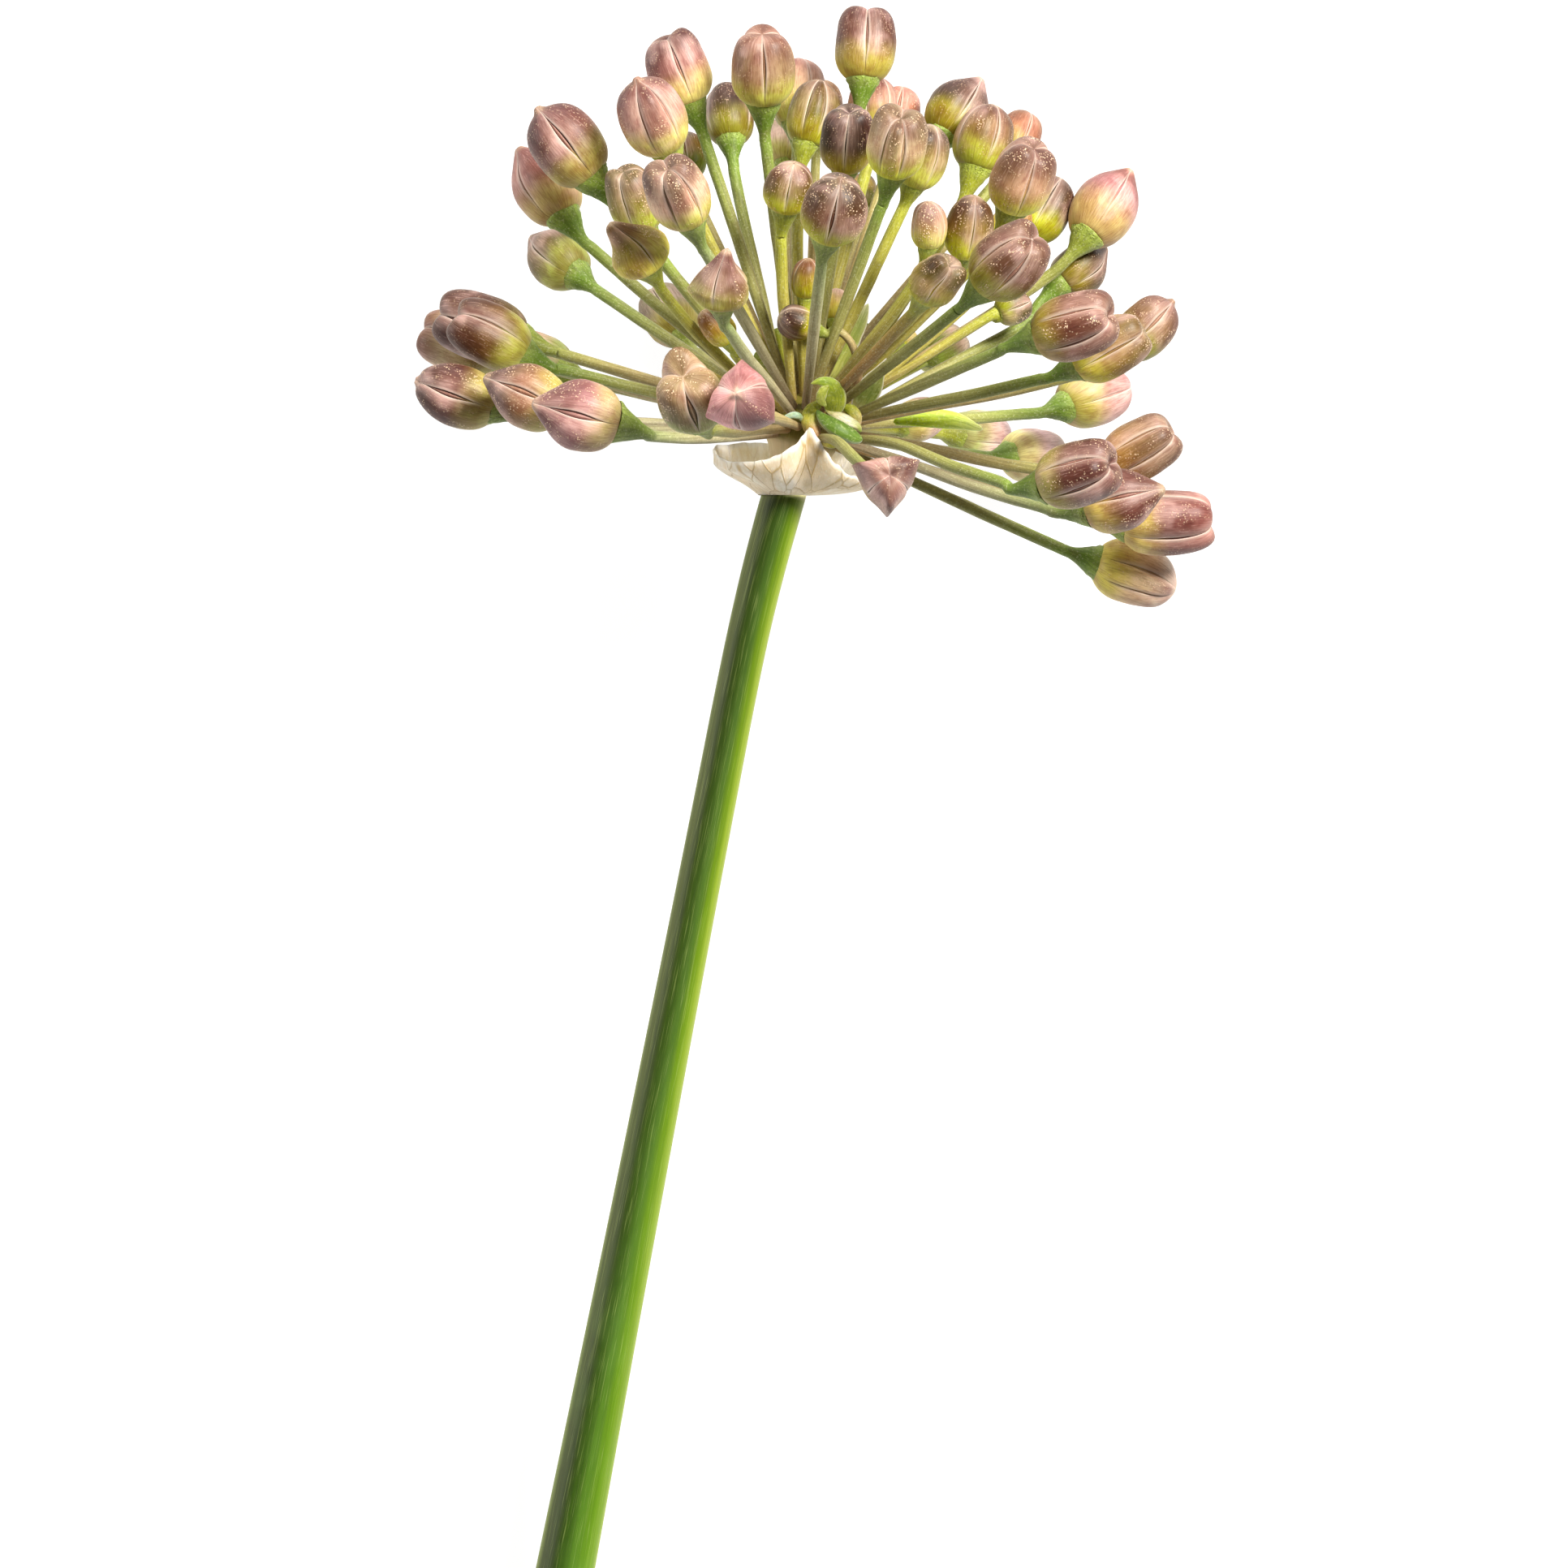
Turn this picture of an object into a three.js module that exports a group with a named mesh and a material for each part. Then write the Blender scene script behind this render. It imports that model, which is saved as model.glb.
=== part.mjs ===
// A cut allium in bud, laid on its side: a leaning stem, the papery spathe at its top, and an
// open head of florets, each a slender pedicel that flares into a three-sided bud.
//
// The plant is first described in the head's own frame, with its origin at the centre of the
// knob where every pedicel starts: +X to the right, +Y the way the plant grew, +Z towards the
// side that ends up on top. The last section lays it down, so that the stem runs along Y and
// the cut end and the lowest buds rest on the plane Z = 0. Units are millimetres and degrees.

import * as THREE from "three";

// ---- Stem ----
const STEM_LENGTH = 152; // from the knob's centre to the cut
const NECK_DIAMETER = 4.6; // just under the head
const WAIST_DIAMETER = 4.3; // the slimmest place
const WAIST_DEPTH = 25; // how far below the knob's centre that is
const CUT_DIAMETER = 7.1;
const CUT_SWELL = 1.7; // power by which the stem thickens from waist to cut
const STEM_LEAN = 11; // from the head's +Y
const NECK_BEND = 6; // extra lean just under the head
const NECK_BEND_LENGTH = 32; // the bend fades out over this length
const KNOB_RADIUS = 4;
const NECK_START = 1.15; // where the neck takes over from the knob, in knob radii

// ---- Florets ----
const FLORET_REACH = 33; // knob centre to bud base, for a reach of 1
const BUD_LENGTH = 8.6; // for a size of 1
const BUD_WIDTH = 6.3; // for a size of 1
const BUD_ANGULARITY = 0.07; // how three-sided a bud's section is
const PEDICEL_DIAMETER = 1.2;
const PEDICEL_FOOT_DIAMETER = 0.9; // where it starts on the knob
const CUP_LENGTH = 3.2; // the flare under the bud, for a size of 1
const CUP_SHARE = 0.58; // the cup's mouth as a share of the bud's width
const FOOT_STIFFNESS = 0.35; // share of the pedicel that leaves the knob straight
const CUP_STIFFNESS = 0.17; // share of it that meets the bud straight

// ---- Spathe and bract ----
const SPATHE_RADIUS = 9;
const SPATHE_OFFSET = 0.12; // share by which it reaches further towards +X
const SPATHE_BOTTOM = -6.5; // height of its hole round the neck
const SPATHE_RIM = -1.9; // height of its rim
const SPATHE_WALL = 0.3;
const SPATHE_NOTCH = { bearing: 0, width: 38, depth: 3.4 }; // the torn, low side
const SPATHE_BEAK = { bearing: 77, width: 9, height: 2, sharpness: 6 }; // the pointed tip
const SPATHE_ROUNDNESS = 0.96; // 1 would be a quarter of an ellipse, with an upright rim
const BRACT_LENGTH = 10.5;
const BRACT_WIDTH = 2.4;
const BRACT_THICKNESS = 0.6;
const BRACT_PLACE = { bearing: 27, lift: -4 };

// ---- Lying down ----
const HEAD_HEIGHT = 33; // the knob's centre above the surface

// ---- Fits ----
const SEAT_GAP = 0.3; // between the knob and each pedicel's foot
const HOLE_GAP = 0.3; // between the neck and the spathe
const PIECE_GAP = 0.34; // between any two florets

// ---- Facets ----
const STEM_SIDES = 16;
const KNOB_RINGS = 5;
const KNOB_STEP = 27; // degrees from one ring of the knob to the next
const STEM_RINGS = 18;
const STEM_RING_CROWDING = 1.2; // above 1, the rings lie closer near the head
const SPATHE_COLUMNS = 28;
const SPATHE_BANDS = 5;
const FLORET_SIDES = 9;
const BRACT_SIDES = 8;

// Each floret is [bearing, lift, reach, bud's bearing, bud's lift, size]. A bearing turns
// clockwise from +Y and a lift rises towards +Z. The first pair is where the bud's base sits as
// seen from the knob, and the second is where the bud itself points.
const FLORETS = {
  crown: [
    [-27, 16, 1.0, -20, 26, 1.08],
    [-19, 3, 1.07, -23, 7, 0.98],
    [-14, -14, 0.97, -5, -31, 0.8],
    [-7, 10, 1.03, 0, 20, 1.02],
    [-5, 24, 0.74, 10, 29, 0.76],
    [-1, -16, 1.0, 0, -24, 0.88],
    [1, -6, 0.9, 20, -9, 0.8],
    [8, -6, 1.11, 12, -8, 0.95],
    [9, 12, 0.84, 3, 32, 0.84],
    [13, -14, 0.98, 3, -18, 0.8],
    [19, 27, 0.93, 12, 35, 1.02],
    [24, 10, 0.85, 20, 19, 0.78],
    [25, -13, 1.06, 33, -24, 0.95],
    [33, -5, 1.0, 17, -8, 0.94],
  ],
  left: [
    [-38, 17, 0.83, -17, 28, 0.9],
    [-40, 7, 1.03, -39, 6, 1.12],
    [-44, 33, 0.83, -32, 33, 0.84],
    [-48, -10, 1.02, -33, -18, 1.05],
    [-55, -29, 0.99, -49, -36, 0.92],
    [-76, -33, 0.92, -70, -30, 1.0],
    [-73, -9, 0.93, -72, -6, 1.07],
    [-75, 4, 0.9, -61, 7, 1.02],
    [-75, -15, 1.03, -75, -14, 0.98],
    [-86, 11, 0.98, -72, 0, 1.0],
    [-86, 26, 0.84, -66, 7, 1.0],
  ],
  right: [
    [36, 28, 0.78, -1, 21, 0.57],
    [37, -16, 1.12, 21, -31, 0.7],
    [42, 18, 0.98, 26, 27, 1.02],
    [42, 22, 0.79, 16, 26, 0.78],
    [46, -6, 0.84, 45, -24, 0.62],
    [51, -11, 0.97, 35, -25, 0.87],
    [54, -13, 1.07, 39, -19, 1.0],
    [62, -15, 0.94, 55, -27, 0.8],
    [76, 0, 1.03, 45, -9, 0.86],
    [77, 23, 0.94, 61, 14, 0.95],
    [97, 7, 0.96, 60, 8, 0.92],
    [106, 3, 1.04, 90, 0, 1.04],
    [106, 23, 0.99, 75, 14, 0.98],
    [114, -7, 1.01, 108, -7, 1.0],
  ],
  front: [
    [-89, 45, 0.81, -76, 13, 1.12],
    [-86, 68, 0.85, -20, 48, 0.98],
    [-71, 78, 0.93, -41, 83, 1.02],
    [-34, 62, 0.96, 0, 38, 0.9],
    [-29, 43, 0.98, -23, 39, 1.05],
    [7, 51, 0.93, 15, 41, 1.04],
    [43, 51, 0.86, 33, 42, 0.84],
    [52, 42, 0.94, 46, 33, 1.12],
    [69, 38, 0.97, 75, 20, 1.1],
    [104, 39, 0.97, 73, 26, 1.08],
    [126, 71, 0.93, 55, 83, 0.96],
  ],
  back: [
    [-51, -62, 1.03, -35, -51, 0.86],
    [-4, -33, 1.0, 1, -42, 0.74],
    [84, -36, 1.02, 71, -32, 0.95],
    [90, -61, 0.98, 95, -53, 0.86],
    [96, -48, 0.97, 84, -42, 0.86],
  ],
  heart: [
    [-44, 36, 0.46, -35, 28, 0.51],
    [-1, 24, 0.45, 5, 16, 0.47],
  ],
};

const UP = new THREE.Vector3(0, 1, 0);
const TOWARDS_TOP = new THREE.Vector3(0, 0, 1);
const radians = THREE.MathUtils.degToRad;
const { lerp, smoothstep } = THREE.MathUtils;

// ---- Directions ----

// The unit vector that points along a bearing and a lift.
function aim(bearing, lift) {
  const flat = Math.cos(radians(lift));
  return new THREE.Vector3(
    flat * Math.sin(radians(bearing)),
    flat * Math.cos(radians(bearing)),
    Math.sin(radians(lift)),
  );
}

// The turn that lays the plant down: first about Z, until the stem runs along Y, and then about
// X, until the cut end is as low as the lowest buds.
function layingTurn() {
  const end = stemCentre(STEM_LENGTH);
  const drop = HEAD_HEIGHT - CUT_DIAMETER / 2;
  return new THREE.Euler(Math.asin(drop / end.length()), 0, Math.atan2(end.x, end.y) + Math.PI);
}

// ---- Skins ----

// A ring of points about a centre, seen with its axis towards the viewer. The section gives the
// radius at an angle measured from the ring's side vector.
function ring(centre, axis, side, sides, section) {
  const across = side.clone().addScaledVector(axis, -side.dot(axis)).normalize();
  const upright = new THREE.Vector3().crossVectors(axis, across);
  return Array.from({ length: sides }, (_, index) => {
    const angle = (2 * Math.PI * index) / sides;
    const { x, y } = section(angle);
    return centre.clone().addScaledVector(across, x).addScaledVector(upright, y);
  });
}

// A point at an angle and a radius, as a section returns it.
function polar(angle, radius) {
  return { x: radius * Math.cos(angle), y: radius * Math.sin(angle) };
}

// The closed surface through rings of equal length. It ends in a point at both ends, or, with
// no end points, joins its last ring to its first.
function skin(rings, endPoints) {
  const sides = rings[0].length;
  const points = rings.flat();
  const faces = [];
  const at = (row, column) => (row % rings.length) * sides + (column % sides);
  const bands = endPoints ? rings.length - 1 : rings.length;
  for (let row = 0; row < bands; row++) {
    for (let column = 0; column < sides; column++) {
      const near = at(row, column);
      const far = at(row + 1, column + 1);
      faces.push(near, at(row, column + 1), far, near, far, at(row + 1, column));
    }
  }
  if (endPoints) {
    const last = rings.length - 1;
    const start = points.push(endPoints[0]) - 1;
    const finish = points.push(endPoints[1]) - 1;
    for (let column = 0; column < sides; column++) {
      faces.push(start, at(0, column + 1), at(0, column));
      faces.push(finish, at(last, column), at(last, column + 1));
    }
  }
  const geometry = new THREE.BufferGeometry().setFromPoints(points);
  geometry.setIndex(faces);
  geometry.computeVertexNormals();
  return geometry;
}

// ---- Stem ----

// The stem's centre line, at a distance below the knob's centre.
function stemCentre(distance) {
  const steps = 40;
  const step = distance / steps;
  const point = new THREE.Vector3();
  for (let index = 0; index < steps; index++) {
    const place = (index + 0.5) * step;
    const lean = STEM_LEAN + NECK_BEND * (1 - smoothstep(place, 0, NECK_BEND_LENGTH));
    point.addScaledVector(aim(180 + lean, 0), step);
  }
  return point;
}

// The stem's radius there, without the knob.
function stemRadius(distance) {
  if (distance < WAIST_DEPTH) {
    return lerp(NECK_DIAMETER, WAIST_DIAMETER, smoothstep(distance, 0, WAIST_DEPTH)) / 2;
  }
  const share = (distance - WAIST_DEPTH) / (STEM_LENGTH - WAIST_DEPTH);
  return lerp(WAIST_DIAMETER, CUT_DIAMETER, share ** CUT_SWELL) / 2;
}

// One grown piece: the knob, the neck and the stem down to a plain square cut.
function stemGeometry() {
  const stations = [];
  for (let index = 1; index <= KNOB_RINGS; index++) {
    const angle = radians(KNOB_STEP * index);
    stations.push([-KNOB_RADIUS * Math.cos(angle), KNOB_RADIUS * Math.sin(angle)]);
  }
  const neckStart = KNOB_RADIUS * NECK_START;
  for (let index = 0; index <= STEM_RINGS; index++) {
    const distance = lerp(neckStart, STEM_LENGTH, (index / STEM_RINGS) ** STEM_RING_CROWDING);
    stations.push([distance, stemRadius(distance)]);
  }
  const centreAt = (distance) =>
    distance < 0 ? UP.clone().multiplyScalar(-distance) : stemCentre(distance);
  const rings = stations.map(([distance, radius]) => {
    const below = centreAt(distance + 0.5);
    const axis = below.sub(centreAt(distance - 0.5)).normalize();
    return ring(centreAt(distance), axis, TOWARDS_TOP, STEM_SIDES, (angle) => polar(angle, radius));
  });
  return skin(rings, [UP.clone().multiplyScalar(KNOB_RADIUS), stemCentre(STEM_LENGTH)]);
}

// ---- Spathe ----

// How much of a hump of the given width is left this far round from its middle.
function hump(angle, { bearing, width }) {
  const away = THREE.MathUtils.euclideanModulo(angle - radians(bearing) + Math.PI, 2 * Math.PI);
  const share = Math.min(Math.abs(away - Math.PI) / radians(width), 1);
  return 0.5 + 0.5 * Math.cos(Math.PI * share);
}

const spatheCentre = stemCentre(-SPATHE_BOTTOM);
const spatheHole = stemRadius(-SPATHE_BOTTOM) + HOLE_GAP;

function spatheReach(angle) {
  return SPATHE_RADIUS * (1 + SPATHE_OFFSET * Math.cos(angle));
}

// The height of the bowl's inner face, at an angle about the stem (0 towards +X and 90 degrees
// towards +Z) and a share of the way from the hole to the rim.
function spatheHeight(angle, share) {
  const notch = SPATHE_NOTCH.depth * hump(angle, SPATHE_NOTCH);
  const beak = SPATHE_BEAK.height * hump(angle, SPATHE_BEAK) * share ** SPATHE_BEAK.sharpness;
  const depth = SPATHE_RIM - notch - SPATHE_BOTTOM;
  const bowl = (1 - Math.sqrt(1 - SPATHE_ROUNDNESS * share ** 2)) / (1 - Math.sqrt(1 - SPATHE_ROUNDNESS));
  return SPATHE_BOTTOM + depth * bowl + beak;
}

function spatheGeometry() {
  const pointAt = (column, share, wall) => {
    const angle = radians(SPATHE_BEAK.bearing) - (2 * Math.PI * column) / SPATHE_COLUMNS;
    const slope = (share ** 2 * Math.PI) / 3;
    const reach = lerp(spatheHole, spatheReach(angle), share) + wall * Math.sin(slope);
    return new THREE.Vector3(
      spatheCentre.x + reach * Math.cos(angle),
      spatheHeight(angle, share) - wall * Math.cos(slope),
      reach * Math.sin(angle),
    );
  };
  const ringAt = (band, wall) =>
    Array.from({ length: SPATHE_COLUMNS }, (_, column) => pointAt(column, band / SPATHE_BANDS, wall));
  const rings = [];
  for (let band = 0; band <= SPATHE_BANDS; band++) rings.push(ringAt(band, SPATHE_WALL));
  for (let band = SPATHE_BANDS; band >= 0; band--) rings.push(ringAt(band, 0));
  return skin(rings);
}

// ---- Chains: the florets and the bract, before they have a surface ----

function midway(a, b) {
  return a.clone().add(b).multiplyScalar(0.5);
}

// A chain is a row of points with a radius at each. Its first point sits on the knob, and the
// points from `rigidFrom` on stay in a straight line. `wishes` are the places that it is drawn to.
function makeChain(points, radii, rigidFrom) {
  const lengths = points.slice(1).map((point, index) => point.distanceTo(points[index]));
  const bends = points.map((point, index) => {
    if (index === 0 || index >= rigidFrom) return new THREE.Vector3();
    return point.clone().sub(midway(points[index - 1], points[index + 1]));
  });
  const wishes = points.map((point) => point.clone());
  return { points, radii, girth: Math.max(...radii), rigidFrom, lengths, bends, wishes };
}

const PEDICEL_STEPS = 4;
const BUD_STATIONS = [0.4, 0.75, 1]; // places along a bud where its girth is checked
const BUD_GIRTHS = [1, 0.88, 0.3]; // its largest radius there, as shares
const BUD_BASE_GIRTH = 0.78; // the same at its base

function floretChain([bearing, lift, reach, budBearing, budLift, size]) {
  const outward = aim(bearing, lift);
  const facing = aim(budBearing, budLift);
  const seat = outward.clone().multiplyScalar(KNOB_RADIUS + SEAT_GAP);
  const base = outward.clone().multiplyScalar(reach * FLORET_REACH);
  const span = seat.distanceTo(base);
  const course = new THREE.CubicBezierCurve3(
    seat,
    seat.clone().addScaledVector(outward, span * FOOT_STIFFNESS),
    base.clone().addScaledVector(facing, -span * CUP_STIFFNESS),
    base,
  );
  const length = size * BUD_LENGTH;
  const girth = (size * BUD_WIDTH) / 2;
  const points = course.getPoints(PEDICEL_STEPS);
  const radii = points.map(() => PEDICEL_DIAMETER / 2);
  radii[0] = PEDICEL_FOOT_DIAMETER / 2;
  radii[PEDICEL_STEPS] = girth * BUD_BASE_GIRTH;
  BUD_STATIONS.forEach((station, index) => {
    points.push(base.clone().addScaledVector(facing, station * length));
    radii.push(girth * BUD_GIRTHS[index]);
  });
  return { ...makeChain(points, radii, PEDICEL_STEPS), size, length };
}

function bractChain() {
  const outward = aim(BRACT_PLACE.bearing, BRACT_PLACE.lift);
  const points = [0, 0.3, 0.6, 1].map((share) =>
    outward.clone().multiplyScalar(KNOB_RADIUS + SEAT_GAP + share * BRACT_LENGTH),
  );
  const radii = [0.6, 1, 1, 0.3].map((share) => (share * BRACT_WIDTH) / 2);
  return makeChain(points, radii, points.length - 1);
}

// ---- Settling: the chains make room for each other ----

const SETTLING_ROUNDS = 260;
const FREE_ROUNDS = 60; // the last rounds, in which nothing draws a chain back
const WISH_PULL = 0.08; // how far a round draws a bud towards its listed place
const BEND_PULL = 0.25; // how far a round draws a pedicel back to its own curve
const FREE_BEND_PULL = 0.05; // the same in the last rounds
const SURFACE_SAMPLES = 8; // places on each stretch that are lifted off the spathe

const lineA = new THREE.Line3();
const lineB = new THREE.Line3();
const nearA = new THREE.Vector3();
const nearB = new THREE.Vector3();
const push = new THREE.Vector3();

// Moves two stretches apart until their surfaces keep the gap.
function partStretches(a, i, b, j) {
  lineA.set(a.points[i], a.points[i + 1]);
  lineB.set(b.points[j], b.points[j + 1]);
  const distance = Math.sqrt(lineA.distanceSqToLine3(lineB, nearA, nearB));
  const s = nearA.distanceTo(lineA.start) / a.lengths[i];
  const t = nearB.distanceTo(lineB.start) / b.lengths[j];
  const reach = lerp(a.radii[i], a.radii[i + 1], s) + lerp(b.radii[j], b.radii[j + 1], t);
  const short = reach + PIECE_GAP - distance;
  if (short <= 0) return;
  push.subVectors(nearA, nearB);
  if (distance < 1e-6) push.copy(TOWARDS_TOP);
  const share = short / ((1 - s) ** 2 + s ** 2 + (1 - t) ** 2 + t ** 2);
  push.setLength(share);
  a.points[i].addScaledVector(push, 1 - s);
  a.points[i + 1].addScaledVector(push, s);
  b.points[j].addScaledVector(push, t - 1);
  b.points[j + 1].addScaledVector(push, -t);
}

function partChains(a, b) {
  for (let i = 0; i < a.lengths.length; i++) {
    for (let j = 0; j < b.lengths.length; j++) {
      const room = a.lengths[i] + b.lengths[j] + a.girth + b.girth + PIECE_GAP;
      if (a.points[i].distanceTo(b.points[j]) < room) partStretches(a, i, b, j);
    }
  }
}

// Lifts a chain off the spathe, and off the surface that the plant lies on.
function liftChain(chain, surfaceUp) {
  for (let i = 0; i < chain.rigidFrom; i++) {
    for (let sample = 0; sample <= SURFACE_SAMPLES; sample++) {
      const t = sample / SURFACE_SAMPLES;
      const point = chain.points[i].clone().lerp(chain.points[i + 1], t);
      const radius = lerp(chain.radii[i], chain.radii[i + 1], t);
      const x = point.x - spatheCentre.x;
      const angle = Math.atan2(point.z, x);
      const room = spatheReach(angle) - spatheHole;
      const share = (Math.hypot(x, point.z) - spatheHole) / room;
      if (share < 0 || share > 1 + (radius + PIECE_GAP) / room) continue;
      const low = spatheHeight(angle, Math.min(share, 1)) + radius + PIECE_GAP - point.y;
      if (low <= 0) continue;
      chain.points[i].y += i ? low * (1 - t) : 0;
      chain.points[i + 1].y += low * t;
    }
  }
  chain.points.forEach((point, index) => {
    const low = chain.radii[index] - HEAD_HEIGHT - point.dot(surfaceUp);
    if (low > 0) point.addScaledVector(surfaceUp, low);
  });
}

// Lays a chain's rigid points on the straight line that fits them best, and returns its direction.
function straighten({ points, lengths, rigidFrom }) {
  const rigid = points.slice(rigidFrom);
  const stations = rigid.map((_, index) =>
    lengths.slice(rigidFrom, rigidFrom + index).reduce((sum, length) => sum + length, 0),
  );
  const mean = stations.reduce((sum, station) => sum + station, 0) / stations.length;
  const middle = new THREE.Vector3();
  const facing = new THREE.Vector3();
  rigid.forEach((point, index) => {
    middle.addScaledVector(point, 1 / rigid.length);
    facing.addScaledVector(point, stations[index] - mean);
  });
  facing.normalize();
  rigid.forEach((point, index) => {
    point.copy(middle).addScaledVector(facing, stations[index] - mean);
  });
  return facing;
}

// Brings a chain's foot back to the knob, its bud back to a straight line, and every stretch
// back to its length.
function restoreChain(chain, bendPull) {
  const { points, lengths, bends, rigidFrom } = chain;
  const last = points.length - 1;
  const rigid = rigidFrom < last;
  const facing = rigid ? straighten(chain) : null;
  points[0].setLength(KNOB_RADIUS + SEAT_GAP);
  for (let index = 1; index < rigidFrom; index++) {
    const rest = midway(points[index - 1], points[index + 1]).add(bends[index]);
    points[index].lerp(rest, bendPull);
  }
  for (let index = 0; index < last; index++) {
    const course = index < rigidFrom ? points[index + 1].clone().sub(points[index]) : facing.clone();
    points[index + 1].copy(points[index]).add(course.setLength(lengths[index]));
  }
}

function settle(chains, surfaceUp) {
  for (let round = 0; round < SETTLING_ROUNDS; round++) {
    const held = round < SETTLING_ROUNDS - FREE_ROUNDS;
    for (const chain of chains) {
      if (!held) break;
      for (const index of [chain.rigidFrom, chain.points.length - 1]) {
        chain.points[index].lerp(chain.wishes[index], WISH_PULL);
      }
    }
    chains.forEach((chain, index) => {
      for (const other of chains.slice(index + 1)) partChains(chain, other);
    });
    for (const chain of chains) {
      liftChain(chain, surfaceUp);
      restoreChain(chain, held ? BEND_PULL : FREE_BEND_PULL);
    }
  }
}

// ---- Surfaces of the florets and the bract ----

const BUD_PROFILE = [
  [0.08, 0.78],
  [0.32, 0.98],
  [0.62, 0.97],
  [0.86, 0.62],
]; // share of the bud's length, share of its radius

const HEAD_ON = 0.85; // a bud whose direction has more of +Z than this points to the top

// The vector that a bud's open seam is turned to: the side that ends up on top, or the way the
// plant grew for a bud that itself points to the top.
function seamSide(facing, turn) {
  const side = Math.abs(facing.z) > HEAD_ON ? UP.clone() : TOWARDS_TOP.clone();
  side.addScaledVector(facing, -side.dot(facing)).normalize();
  return side.applyAxisAngle(facing, radians(turn));
}

// One grown piece: a thin foot, the pedicel, its flare and the bud.
function floretGeometry(chain, turn) {
  const { points, size, length, girth } = chain;
  const base = points[PEDICEL_STEPS];
  const tip = points[points.length - 1];
  const facing = tip.clone().sub(base).normalize();
  const side = seamSide(facing, turn);
  const course = new THREE.CatmullRomCurve3([...points.slice(0, PEDICEL_STEPS + 1), tip]);
  const pedicel = PEDICEL_DIAMETER / 2;
  const rings = [];
  const addRing = (centre, axis, radius, angularity) => {
    const section = (angle) => polar(angle, radius * (1 - angularity * (1 + Math.cos(3 * angle))));
    rings.push(ring(centre, axis, side, FLORET_SIDES, section));
  };
  for (let index = 0; index < PEDICEL_STEPS; index++) {
    const share = index / (PEDICEL_STEPS + 1);
    const radius = index ? pedicel : PEDICEL_FOOT_DIAMETER / 2;
    addRing(points[index], course.getTangent(share), radius, 0);
  }
  const arrival = base.clone().sub(points[PEDICEL_STEPS - 1]).normalize();
  const cupAxis = arrival.add(facing).normalize();
  addRing(base.clone().addScaledVector(cupAxis, -size * CUP_LENGTH), cupAxis, pedicel, 0);
  addRing(base, facing, girth * CUP_SHARE, 0);
  for (const [station, share] of BUD_PROFILE) {
    addRing(base.clone().addScaledVector(facing, station * length), facing, girth * share, BUD_ANGULARITY);
  }
  return skin(rings, [points[0], tip]);
}

const BRACT_PROFILE = [
  [0, 0.5],
  [0.25, 0.9],
  [0.55, 1],
  [0.85, 0.55],
]; // share of the bract's length, share of its width

// A narrow pointed blade.
function bractGeometry({ points }) {
  const course = new THREE.CatmullRomCurve3(points);
  const rings = BRACT_PROFILE.map(([share, width]) => {
    const section = (angle) => ({
      x: (Math.cos(angle) * BRACT_THICKNESS) / 2,
      y: (Math.sin(angle) * width * BRACT_WIDTH) / 2,
    });
    return ring(course.getPoint(share), course.getTangent(share), TOWARDS_TOP, BRACT_SIDES, section);
  });
  return skin(rings, [points[0], points[points.length - 1]]);
}

// ---- The plant ----

const STEM_GREEN = new THREE.MeshStandardMaterial({ color: 0x5f8a1e, roughness: 0.45, metalness: 0 });
const SPATHE_CREAM = new THREE.MeshStandardMaterial({ color: 0xd9c7a0, roughness: 0.7, metalness: 0 });
const BRACT_GREEN = new THREE.MeshStandardMaterial({ color: 0xc2b96a, roughness: 0.6, metalness: 0 });
const YOUNG_BUD = new THREE.Color(0x9c9440);
const RIPE_BUD = new THREE.Color(0xb07a72);

// Small buds are yellow-green and the largest are mauve.
function budMaterial(size) {
  const color = YOUNG_BUD.clone().lerp(RIPE_BUD, smoothstep(size, 0.6, 1.05));
  return new THREE.MeshStandardMaterial({ color, roughness: 0.5, metalness: 0 });
}

const TURN_STEP = 47; // from one bud's own turn to the next, in degrees
const TURN_RANGE = 60; // the turns stay within this range
const TIPPING_ROUNDS = 3;

function plant() {
  const group = new THREE.Group();
  const add = (name, geometry, material) => {
    const mesh = new THREE.Mesh(geometry, material);
    mesh.name = name;
    group.add(mesh);
  };
  group.rotation.copy(layingTurn());
  const surfaceUp = TOWARDS_TOP.clone().applyQuaternion(group.quaternion.clone().invert());

  const florets = Object.entries(FLORETS).flatMap(([region, rows]) =>
    rows.map((row, index) => ({ name: `floret_${region}_${index + 1}`, chain: floretChain(row) })),
  );
  const bract = bractChain();
  settle([bract, ...florets.map(({ chain }) => chain)], surfaceUp);

  add("stem", stemGeometry(), STEM_GREEN);
  add("spathe", spatheGeometry(), SPATHE_CREAM);
  add("inner_bract", bractGeometry(bract), BRACT_GREEN);
  florets.forEach(({ name, chain }, index) => {
    const turn = ((index * TURN_STEP) % TURN_RANGE) - TURN_RANGE / 2;
    add(name, floretGeometry(chain, turn), budMaterial(chain.size));
  });
  return group;
}

// Tips the plant about its cut end until its lowest bud is as low as the cut.
function tipOntoBuds(group) {
  const lowest = (meshes) => {
    const box = new THREE.Box3();
    for (const mesh of meshes) box.expandByObject(mesh, true);
    return box.min.z;
  };
  const stem = group.children.filter(({ name }) => name === "stem");
  const rest = group.children.filter(({ name }) => name !== "stem");
  for (let round = 0; round < TIPPING_ROUNDS; round++) {
    group.updateMatrixWorld(true);
    group.rotation.x -= (lowest(rest) - lowest(stem)) / STEM_LENGTH;
  }
  return group;
}

// Puts the origin midway under the plant, on the surface that it lies on.
function standAtOrigin(group) {
  const box = new THREE.Box3().setFromObject(group, true);
  const centre = box.getCenter(new THREE.Vector3());
  group.position.set(-centre.x, -centre.y, -box.min.z);
  return group;
}

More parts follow.
